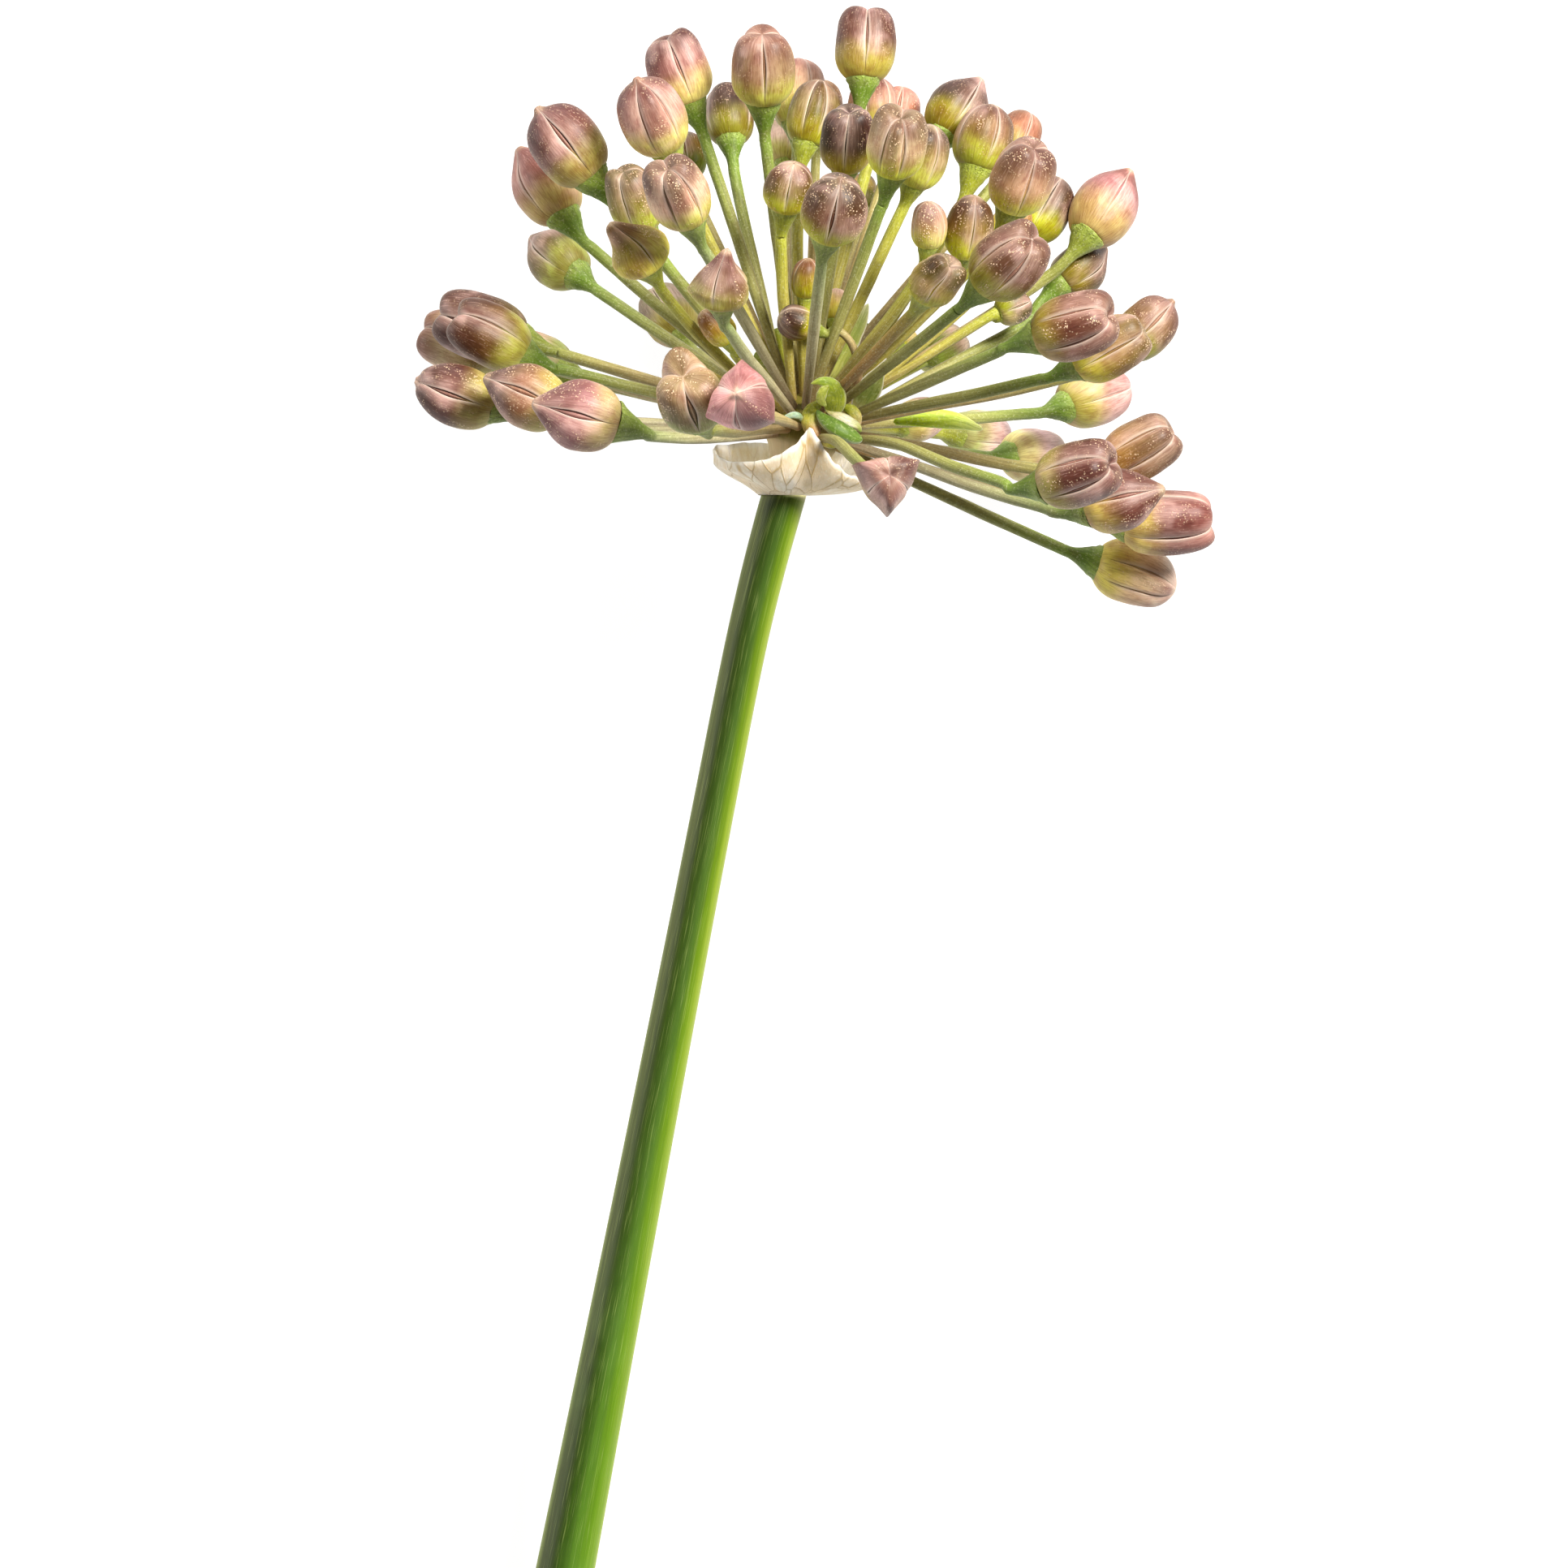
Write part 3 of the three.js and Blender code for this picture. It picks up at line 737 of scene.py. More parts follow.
@dataclass(frozen=True)
class Look:
    """How one floret looks.

    seams are where the outer tepals meet, in degrees round the bud from its upper side, turning
    right with its tip up; gaps are the half angles by which they part; tip, body and base are
    screen colours; keel is how far the tepals' middles stand out; hoods lift single tepals, and a
    multiplier per tepal paints light and shade by brightening or darkening it; sugar is how many
    specks show; bend moves the tip; stout and long scale the bud; sag lowers its pedicel; shift
    moves it; low flattens it.
    """

    seams: tuple[float, float, float] = (4.0, 124.0, 236.0)
    gaps: tuple[float, float, float] = (6.0, 3.0, 3.0)
    top: Top = Top.DOMED
    tip: tuple[int, int, int] = (176, 128, 118)
    body: tuple[int, int, int] = (188, 146, 118)
    base: tuple[int, int, int] = (178, 172, 76)
    sugar: float = 0.6
    stalk: Stalk = Stalk.OLIVE
    keel: float = 0.07
    hoods: tuple[float, float, float] = (0.0, 0.0, 0.0)
    stout: float = 1.0
    long: float = 1.0
    shift: tuple[float, float] = (0.0, 0.0)
    low: float = 0.0
    bend: tuple[float, float] = (0.0, 0.0)
    # One multiplier per tepal, in seam order: painted light and shade, lighter where a tepal faces the light
    # and darker where it is shaded.
    painted_shading: tuple[float, float, float] = (1.0, 1.0, 1.0)
    sag: float = 0.0


LOOKS: dict[str, Look] = {
    "crown_1": Look(
        (-24, 32, 188), (3, 7, 2), Top.NUBBED, (134, 94, 84), (199, 156, 138), (213, 209, 109),
        0.7, Stalk.LIME, stout=0.94, long=0.95,
    ),
    "crown_2": Look(
        (6, 130, 262), (6, 3, 6), Top.NOTCHED, (79, 42, 39), (159, 108, 100), (224, 209, 121),
        0.3, Stalk.GREEN, hoods=(0.09, 0.05, 0.04), long=0.9,
    ),
    "crown_3": Look(
        (-64, 66, 180), (3, 3, 3), Top.DOMED, (48, 28, 14), (55, 38, 13), (132, 127, 29),
        0.3, Stalk.GREEN,
    ),
    "crown_4": Look(
        (2, 112, 248), (5, 3, 3), Top.HOODED, (130, 92, 74), (170, 144, 102), (198, 197, 86),
        0.3, Stalk.GREEN, hoods=(0.02, 0.08, 0.02), long=0.9,
    ),
    "crown_5": Look(
        (0, 96, 250), (2, 3, 3), Top.DOMED, (89, 61, 35), (120, 107, 22), (209, 216, 34),
        0.8, Stalk.LIME, stout=1.06, long=0.8,
    ),
    "crown_6": Look(
        (30, 150, 270), (3, 3, 3), Top.DOMED, (199, 154, 137), (206, 165, 129), (188, 185, 83),
        0.2,
    ),
    "crown_7": Look(
        (-18, 26, 180), (3, 4, 3), Top.DOMED, (93, 71, 29), (113, 104, 16), (178, 179, 37),
        0.3, Stalk.LIME,
    ),
    "crown_8": Look(
        (2, 122, 240), (5, 3, 3), Top.NOTCHED, (85, 49, 41), (95, 58, 38), (185, 172, 73),
        0.3, Stalk.GREEN, hoods=(0.05, 0.02, 0.05), long=0.92,
    ),
    "crown_9": Look(
        (-2, 120, 236), (2, 3, 3), Top.NOTCHED, (35, 20, 9), (41, 22, 11), (181, 165, 31),
        0.5, Stalk.GREEN, hoods=(0.07, 0.02, 0.03),
    ),
    "crown_10": Look(
        (-16, 42, 188), (3, 4, 3), Top.DOMED, (144, 108, 94), (185, 137, 110), (184, 175, 73),
        0.3, Stalk.LIME, long=0.93,
    ),
    "crown_11": Look(
        (-28, 18, 176), (4, 6, 3), Top.NOTCHED, (120, 101, 71), (198, 176, 126), (209, 217, 60),
        0.9, Stalk.GREEN, hoods=(0.0, 0.08, 0.1), stout=0.9, long=0.84,
    ),
    "crown_12": Look(
        (40, 160, 280), (3, 3, 3), Top.DOMED, (74, 60, 36), (156, 145, 58), (212, 220, 88),
        0.3, Stalk.LIME,
    ),
    "crown_13": Look(
        (10, 130, 250), (4, 3, 3), Top.BEAKED, (80, 46, 36), (73, 54, 32), (161, 151, 34),
        0.3, Stalk.GREEN,
    ),
    "crown_14": Look(
        (24, 150, -62), (4, 3, 3), Top.DOMED, (99, 70, 47), (140, 111, 51), (174, 179, 54),
        0.6, Stalk.LIME, long=0.86,
    ),
    "left_1": Look(
        (-30, 90, 210), (3, 3, 3), Top.HOODED, (104, 93, 53), (140, 131, 46), (193, 206, 84),
        0.8, Stalk.GREEN, hoods=(0.02, 0.02, 0.08), stout=0.92, long=0.96,
    ),
    "left_2": Look(
        (3, 122, 240), (8, 3, 3), Top.NUBBED, (92, 49, 47), (125, 84, 70), (192, 181, 95),
        0.4, Stalk.GREEN, long=0.94,
    ),
    "left_3": Look(
        (14, 134, 250), (4, 3, 3), Top.PEAKED, (139, 109, 62), (162, 149, 52), (226, 217, 91),
        0.5, Stalk.LIME, keel=0.1, hoods=(0.0, 0.0, 0.14), stout=1.12, long=0.98, low=0.12,
        bend=(-1.1, 0.3),
    ),
    "left_4": Look(
        (-38, 84, 205), (5, 3, 3), Top.BEAKED, (130, 79, 72), (156, 104, 91), (187, 164, 96),
        0.1, Stalk.GREEN,
    ),
    "left_5": Look(
        (-20, 100, 220), (4, 3, 3), Top.BEAKED, (89, 63, 36), (100, 83, 33), (170, 176, 80),
        0.2, Stalk.GREEN,
    ),
    "left_6": Look(
        (60, 180, 300), (3, 3, 3), Top.DOMED, (155, 121, 105), (171, 124, 84), (159, 171, 85),
        0.3,
    ),
    "left_7": Look(
        (0, 120, 240), (8, 3, 3), Top.NOTCHED, (72, 42, 27), (84, 50, 29), (116, 100, 42),
        0.2, hoods=(0.06, 0.02, 0.06),
    ),
    "left_8": Look(
        (26, 146, 262), (5, 3, 5), Top.NOTCHED, (76, 45, 22), (106, 74, 27), (187, 186, 79),
        0.2, Stalk.GREEN, hoods=(0.07, 0.02, 0.07), stout=0.96, long=0.95,
    ),
    "left_9": Look(
        (20, 140, 260), (6, 3, 3), Top.NOTCHED, (121, 82, 51), (229, 210, 161), (179, 169, 87),
        0.2, hoods=(0.05, 0.02, 0.05),
    ),
    "left_10": Look(
        (-4, 116, 236), (9, 3, 3), Top.NUBBED, (69, 43, 31), (95, 49, 36), (179, 169, 87),
        0.6, Stalk.GLAUCOUS, hoods=(0.04, 0.0, 0.04), stout=0.96,
    ),
    "left_11": Look(
        (6, 126, 246), (10, 3, 3), Top.BEAKED, (56, 33, 21), (153, 116, 75), (179, 169, 87),
        0.7, Stalk.GLAUCOUS, sag=0.8, stout=1.04,
    ),
    "right_1": Look(
        (70, 190, 290), (2, 2, 2), Top.DOMED, (103, 74, 55), (184, 150, 100), (215, 213, 93),
        0.9, Stalk.LIME,
    ),
    "right_2": Look(
        (20, 140, 260), (3, 3, 3), Top.DOMED, (153, 115, 85), (173, 113, 75), (165, 147, 66),
        0.2,
    ),
    "right_3": Look(
        (16, 132, -88), (4, 3, 4), Top.HOODED, (110, 80, 64), (202, 159, 117), (221, 220, 68),
        0.8, Stalk.LIME, hoods=(0.0, 0.04, 0.08), long=0.91,
    ),
    "right_4": Look(
        (12, 130, 250), (2, 2, 2), Top.DOMED, (75, 52, 24), (134, 111, 19), (221, 220, 30),
        0.7, Stalk.LIME,
    ),
    "right_5": Look(
        (-20, 100, 220), (3, 3, 3), Top.DOMED, (192, 152, 87), (199, 165, 62), (195, 189, 52),
        0.4, Stalk.LIME,
    ),
    "right_6": Look(
        (0, 120, 240), (3, 3, 3), Top.DOMED, (56, 38, 18), (73, 53, 16), (185, 191, 34),
        0.2, Stalk.LIME, long=0.96,
    ),
    "right_7": Look(
        (6, 126, 246), (4, 3, 3), Top.BEAKED, (144, 81, 70), (168, 113, 114), (196, 171, 105),
        0.1, long=1.14, shift=(0.3, 1.4),
    ),
    "right_8": Look(
        (30, 150, 270), (3, 3, 3), Top.BEAKED, (84, 53, 17), (65, 49, 11), (134, 119, 27),
        0.5, Stalk.GREEN, stout=1.04, shift=(0.0, 1.8),
    ),
    "right_9": Look(
        (4, 124, 244), (7, 3, 3), Top.NUBBED, (113, 80, 68), (130, 100, 60), (145, 145, 50),
        0.5,
    ),
    "right_10": Look(
        (12, 132, 252), (5, 3, 3), Top.HOODED, (117, 98, 45), (147, 118, 39), (214, 205, 69),
        0.7, Stalk.GREEN, hoods=(0.04, 0.0, 0.05),
    ),
    "right_11": Look(
        (30, 150, -26), (5, 3, 5), Top.NOTCHED, (132, 108, 84), (130, 99, 55), (161, 117, 56),
        0.5, hoods=(0.05, 0.02, 0.02),
    ),
    "right_12": Look(
        (36, 156, -60), (4, 3, 4), Top.NOTCHED, (141, 86, 77), (109, 60, 54), (221, 198, 108),
        0.4, hoods=(0.06, 0.02, 0.03), long=1.06,
    ),
    "right_13": Look(
        (-8, 112, 232), (8, 3, 3), Top.BEAKED, (108, 72, 60), (97, 48, 37), (200, 177, 88),
        0.6, Stalk.GLAUCOUS,
    ),
    "right_14": Look(
        (-14, 34, 190), (4, 3, 3), Top.DOMED, (217, 195, 173), (229, 195, 144), (226, 209, 98),
        0.4, Stalk.GREEN,
    ),
    "front_1": Look(
        (-4, 116, 236), (10, 3, 3), Top.BEAKED, (131, 94, 89), (162, 112, 112), (187, 167, 109),
        0.8, Stalk.GLAUCOUS, keel=0.05, sag=0.9, stout=1.02, long=0.93,
    ),
    "front_2": Look(
        (-8, 112, 236), (12, 3, 3), Top.NOTCHED, (153, 131, 89), (122, 124, 57), (149, 159, 72),
        0.9, keel=0.12, hoods=(0.0, 0.24, 0.0), stout=1.08, long=0.98,
    ),
    # front_3's tepal multipliers paint shade on its lower-left tepal and light on its lower-right one.
    "front_3": Look(
        (172, 300, 60), (9, 5, 2), Top.NUBBED, (191, 137, 136), (170, 103, 110), (171, 119, 103),
        0.6, keel=0.3, painted_shading=(0.66, 1.05, 1.5), stout=1.06,
    ),
    "front_4": Look(
        (-20, 96, 216), (3, 3, 3), Top.PEAKED, (131, 84, 74), (129, 103, 72), (183, 182, 86),
        1.0, Stalk.GLAUCOUS, keel=0.2, stout=1.06, long=0.84, low=0.16, bend=(0.35, 0.3),
    ),
    "front_5": Look(
        (-30, 28, 178), (6, 8, 3), Top.NOTCHED, (122, 99, 78), (229, 197, 163), (198, 201, 71),
        1.0, Stalk.GLAUCOUS, keel=0.08, hoods=(0.0, 0.07, 0.08), stout=0.9, long=0.87,
    ),
    "front_6": Look(
        (2, 122, 242), (5, 3, 3), Top.NUBBED, (57, 44, 16), (115, 74, 23), (185, 192, 34),
        0.9, Stalk.GLAUCOUS, long=0.86,
    ),
    "front_7": Look(
        (12, 132, 252), (4, 3, 3), Top.NOTCHED, (81, 73, 23), (167, 148, 34), (177, 182, 30),
        0.7, Stalk.BROWN, keel=0.1, hoods=(0.12, 0.0, 0.18), stout=0.9, long=0.86, bend=(0.4, 0.2),
    ),
    "front_8": Look(
        (-38, 26, 172), (5, 9, 3), Top.HOODED, (109, 78, 58), (105, 69, 39), (177, 175, 55),
        0.9, Stalk.GREEN, keel=0.09, hoods=(0.0, 0.05, 0.09), stout=0.95, long=0.89,
    ),
    "front_9": Look(
        (-30, 34, 182), (5, 5, 3), Top.NOTCHED, (113, 76, 59), (112, 67, 47), (158, 141, 47),
        0.9, Stalk.GREEN, hoods=(0.0, 0.05, 0.06), stout=0.94, long=0.9,
    ),
    "front_10": Look(
        (-30, 32, 180), (7, 7, 3), Top.NOTCHED, (89, 51, 42), (92, 51, 39), (169, 157, 74),
        0.9, Stalk.GREEN, hoods=(0.0, 0.05, 0.06), stout=0.93, long=0.9,
    ),
    # front_11's tepal multipliers paint shade on its upper-left tepal and a little light on its upper-right
    # one.
    "front_11": Look(
        (8, 122, 238), (15, 4, 4), Top.NOTCHED, (150, 111, 100), (137, 97, 87), (171, 144, 103),
        0.9, Stalk.GREEN, keel=0.45, painted_shading=(1.12, 1.0, 0.66), stout=0.98,
    ),
    "back_1": Look(
        (0, 120, 240), (3, 3, 3), Top.DOMED, (152, 144, 97), (143, 131, 106), (158, 147, 58),
        0.1,
    ),
    "back_2": Look(
        (10, 130, 250), (3, 3, 3), Top.DOMED, (148, 124, 74), (237, 206, 184), (181, 175, 86),
        0.1,
    ),
    "back_3": Look(
        (10, 130, -60), (4, 3, 3), Top.DOMED, (205, 153, 150), (210, 168, 159), (184, 173, 78),
        0.1, Stalk.GREEN,
    ),
    "back_4": Look(
        (20, 140, 260), (3, 3, 3), Top.DOMED, (174, 166, 173), (237, 213, 204), (185, 195, 119),
        0.1, Stalk.LIME,
    ),
    "back_5": Look(
        (40, 160, 280), (3, 3, 3), Top.DOMED, (234, 220, 204), (237, 201, 204), (217, 205, 134),
        0.1, Stalk.GREEN,
    ),
    "heart_1": Look(
        (20, 140, 260), (3, 3, 3), Top.DOMED, (129, 90, 20), (190, 148, 43), (208, 205, 50),
        0.4, Stalk.LIME,
    ),
    "heart_2": Look(
        (60, 180, 300), (2, 2, 2), Top.DOMED, (133, 91, 46), (150, 135, 13), (171, 169, 26),
        0.2, Stalk.LIME,
    ),
}


@dataclass
class Bud:
    """A closed bud: three outer tepals, and the inner ones showing where these part."""

    look: Look
    base: Vector
    tip: Vector
    width: float
    up: Vector
    seed: int = 0
    tepal_faces: int = 14
    gap_faces: int = 4
    rows: int = 34
    edge_dip: float = 0.055
    lump: float = 0.035
    small_lump: float = 0.014
    seam_depth: float = 0.03
    open_depth: float = 0.09
    pale_flank: Colour = rgb(236, 196, 182)
    dark_ridge: Colour = rgb(112, 58, 46)
    pale_end: Colour = rgb(226, 206, 168)
    # The inner tepals' own dark core, also used as painted shade along the slits' sides.
    seam_shade_and_core: Colour = rgb(104, 60, 52)
    seam_rib: Colour = rgb(206, 160, 146)
    foot: tuple[tuple[float, float], ...] = (
        (0.03, 0.0), (0.0, 0.28), (0.0, 0.5), (0.018, 0.62), (0.055, 0.725), (0.11, 0.83),
        (0.18, 0.91), (0.27, 0.968), (0.36, 0.995), (0.46, 1.0),
    )

    def __post_init__(self) -> None:
        """Settles the bud's own axes and its columns."""
        span = self.tip - self.base
        self.length, self.axis = span.length, span.normalized()
        self.front = (self.up - self.axis * self.up.dot(self.axis)).normalized()
        self.right = self.axis.cross(self.front)
        order = sorted(range(3), key=lambda k: self.look.seams[k] % 360)
        self.seams = [self.look.seams[k] % 360 for k in order]
        self.gaps = [self.look.gaps[k] for k in order]
        self.hoods = [self.look.hoods[k] for k in order]
        self.painted_shading = [self.look.painted_shading[k] for k in order]
        self.meridian = [*self.foot, *self.look.top.value]
        self.length /= max(self.peak(k) for k in range(3))
        across = [2 * i / self.tepal_faces - 1 for i in range(self.tepal_faces + 1)]
        inner = [2 * i / self.gap_faces - 1 for i in range(self.gap_faces + 1)]
        self.columns = [
            (k, kind, value)
            for k in range(3)
            for kind, values in (("gap", inner), ("tepal", [t * (1.5 - 0.5 * t * t) for t in across]))
            for value in values
        ]

    def peak(self, tepal: int) -> float:
        """Gives a tepal's greatest height, in shares of the bud's length."""
        heights = []
        for row in range(self.rows + 1):
            rise, _ = spline(self.meridian, row / self.rows)
            heights.append(rise + self.hoods[tepal] * self.closing(row))
        return max(heights)

    def closing(self, row: int) -> float:
        """Tells how far a row belongs to the part where the bud closes."""
        return math.sin(math.pi * smooth(row / self.rows, 0.68, 1.0))

    def parting(self, seam: int, rise: float) -> float:
        """Gives the half angle, in degrees, by which two tepals part at a height."""
        share = min(max((rise - 0.2) / 0.72, 0.0), 1.0)
        return 0.35 + 0.62 * self.gaps[seam] * math.sin(math.pi * share**1.15) ** 1.2

    def spot(self, column: int, row: int) -> Spot:
        """Gives the place, tint and marks of one crossing."""
        k, kind, value = self.columns[column]
        rise, reach = spline(self.meridian, row / self.rows)
        rise -= self.look.low * math.sin(math.pi * min(max(rise, 0.0), 1.0))
        nearby = min(max(rise, 0.0), 1.0)
        look, after, tepal = self.look, (k + 1) % 3, kind == "tepal"
        gap = self.parting(k, nearby)
        if tepal:
            width = (self.seams[after] - self.seams[k]) % 360
            low, high = gap, width - self.parting(after, nearby)
            angle = self.seams[k] + low + (high - low) * (value + 1) / 2
        else:
            angle = self.seams[k] + value * gap
        turn = math.radians(angle)
        out = self.front * math.cos(turn) + self.right * math.sin(turn)
        roundness = max(2 - 2.4 * look.keel, 1.1)
        crest = 1 - abs(value) ** roundness if tepal else 0.0
        if tepal and look.keel > 0.12:
            corner = 1 / math.cos(math.pi / 3 * (1 - abs(value))) - 1
            crest += (corner - crest) * smooth(look.keel, 0.12, 0.2)
        edge = smooth(abs(value), 0.55, 1.0) ** 2 if tepal else 1.0
        body = smooth(rise, 0.02, 0.25)
        keel = (look.keel + 0.1 * smooth(rise, 0.6, 0.9)) * body
        swell = 1 + keel * (crest - 0.4) - self.edge_dip * edge * body
        hood = self.hoods[k] * self.closing(row) if tepal else 0.0
        swell *= 1 + 1.2 * hood * crest + 0.03 * math.sin(self.seed * 1.3 + 2.2 * k) * crest
        radius = self.width / 2 * reach * swell
        spin = out * 1.3 + self.axis * rise * 2 + Vector((self.seed * 3.7, 0, 0))
        lumps = self.lump * noise.noise(spin) + self.small_lump * noise.noise(spin * 2.7)
        radius *= 1 + lumps * body
        open_share = smooth(gap, 1.6, 4.6)
        if not tepal:
            rib = (1 - abs(value)) ** 0.7
            depth = (self.seam_depth + self.open_depth * open_share) * (1 - 0.75 * rib * open_share)
            radius -= self.width / 2 * depth * reach * body
        sway = self.right * (look.bend[0] + 0.22 * math.sin(self.seed * 1.7))
        sway += self.front * (look.bend[1] + 0.16 * math.cos(self.seed * 2.3))
        place = self.base + self.axis * (self.length * (rise + hood * crest**0.8)) + out * radius
        place += sway * smooth(rise, 0.5, 1.1)
        if tepal:
            edge_mark = 0.5 * smooth(abs(value), 0.93, 1.0) * smooth(rise, 0.1, 0.3)
            ridge_mark = (smooth(crest, 0.4, 0.95) + 0.3) * smooth(rise, 0.04, 0.2)
            marks = (edge_mark, look.sugar * ridge_mark, 0.0)
        else:
            marks = (0.0, look.sugar * (0.5 * (1 - abs(value))), 1.0)
        along = self.axis * (rise * self.length * 0.12)
        grain = out * (self.width / 2) + along + Vector((self.seed * 11.3, 0, 0))
        return Spot(place, self.tint(kind, value, rise, open_share, k), tuple(grain), marks)

    def tint(self, kind: str, value: float, rise: float, open_share: float, k: int) -> Colour:
        """Gives the skin's colour before its streaks, with painted light and shade on whole tepals and
        painted shade in the slits.
        """
        look = self.look
        base, body, tip = (rgb(*colour) for colour in (look.base, look.body, look.tip))
        shift = 0.06 * math.sin(self.seed * 2.1 + k * 2.4)
        table = ((0.16, base), (0.54 + shift, body), (0.92, tip))
        skin = stops(table, rise)
        if kind == "tepal":
            flank = smooth(abs(value), 0.35, 0.9) * smooth(rise, 0.15, 0.5)
            skin = mix(skin, self.pale_flank, 0.22 * flank)
            ridge = smooth(abs(value), 0.75, 0.1) * smooth(rise, 0.25, 0.75)
            skin = mix(skin, mix(scaled(tip, 0.72), self.dark_ridge, 0.35), 0.6 * ridge)
            skin = mix(skin, self.pale_end, 0.35 * smooth(rise, 0.93, 1.0))
            # Painted light and shade: each tepal's multiplier makes the whole tepal lighter or darker.
            return tuple(min(channel, 1.0) for channel in scaled(skin, self.painted_shading[k]))
        # The slits between the outer tepals show the inner tepals' own dark core with painted shade: darker
        # at the foot, darkest along the slit's sides, and the whole gap a little darker.
        if rise < 0.14:
            return scaled(skin, 0.75)
        deep = mix(scaled(skin, 0.5), self.seam_shade_and_core, 0.4)
        rib = mix(scaled(skin, 1.05), self.seam_rib, 0.45)
        return mix(scaled(skin, 0.85), mix(deep, rib, (1 - abs(value)) ** 0.7), open_share)

    def build(self, piece: Piece, material: int) -> None:
        """Lays the bud into a piece."""
        piece.lay(len(self.columns), self.rows, self.spot, material)


@dataclass
class Pedicel:
    """A pedicel with its cup: a slender stalk that flares under the bud and ends in a lip."""

    points: list[Vector]
    radii: list[float]
    cup: float
    stalk: Stalk
    seed: int = 0
    sides: int = 16
    cup_start: float = 0.82
    straight_rows: int = 24
    flare_rows: int = 10
    lip: tuple[tuple[float, float], ...] = (
        (1.0, 1.0), (1.05, 1.06), (1.06, 1.085), (1.04, 1.08), (0.9, 1.055), (0.55, 1.03), (0.0, 1.02),
    )
    lip_stretch: float = 2.2
    knobbly: float = 0.06
    lip_green: Colour = rgb(172, 190, 92)
    blush: Colour = rgb(112, 88, 76)

    def build(self, piece: Piece, material: int) -> None:
        """Lays the stalk into a piece."""
        straight = [i / self.straight_rows * self.cup_start for i in range(self.straight_rows)]
        flare = [self.cup_start + (1 - self.cup_start) * i / self.flare_rows for i in range(self.flare_rows)]
        shares = [0.0, *straight, *flare, *(1.0 for _ in self.lip)]
        course = Course(self.points, len(shares), shares)
        slim = [(radius,) for radius in self.radii]
        count = len(shares)
        length = sum((b - a).length for a, b in zip(self.points, self.points[1:]))

        def spot(column: int, row: int) -> Spot:
            """Gives one crossing of the stalk."""
            angle = 2 * math.pi * column / self.sides
            share = shares[row]
            radius = spline(slim, share / self.cup_start)[0] if share < self.cup_start else slim[-1][0]
            flared = max((share - self.cup_start) / (1 - self.cup_start), 0.0)
            opened = smooth(share, self.cup_start, 1.0) * 0.45 + 0.55 * flared**2
            radius += (self.cup - radius) * opened
            place = course.places[row].copy()
            wart = smooth(share, 0.93, 1.0)
            if row == 0:
                radius = 0.0
            lip_row = row - (count - len(self.lip))
            if lip_row >= 0:
                factor, forward = self.lip[lip_row]
                radius = self.cup * factor
                place += course.tangents[row] * ((forward - 1.0) * self.cup * self.lip_stretch)
            out = course.spoke(row, angle)
            radius *= 1 + self.knobbly * noise.noise(place * 2.1 + out * 1.7) * (1 + 1.5 * wart)
            foot, middle, top, cup = self.stalk.value
            end = mix(cup, self.lip_green, 0.5)
            tint = stops(((0.05, foot), (0.4, middle), (0.75, top), (0.93, cup), (1.0, end)), share)
            shade = max(noise.noise(out * 0.9 + Vector((self.seed, share * 2, 0))), 0.0)
            tint = mix(tint, self.blush, 1.1 * shade * smooth(share, 0.85, 0.2))
            grain = out * 0.8 + Vector((self.seed * 7.7, share * length * 0.1, 0))
            return Spot(place + out * radius, tint, tuple(grain), (wart, 0.0, 0.0))

        piece.lay(self.sides, count - 1, spot, material)


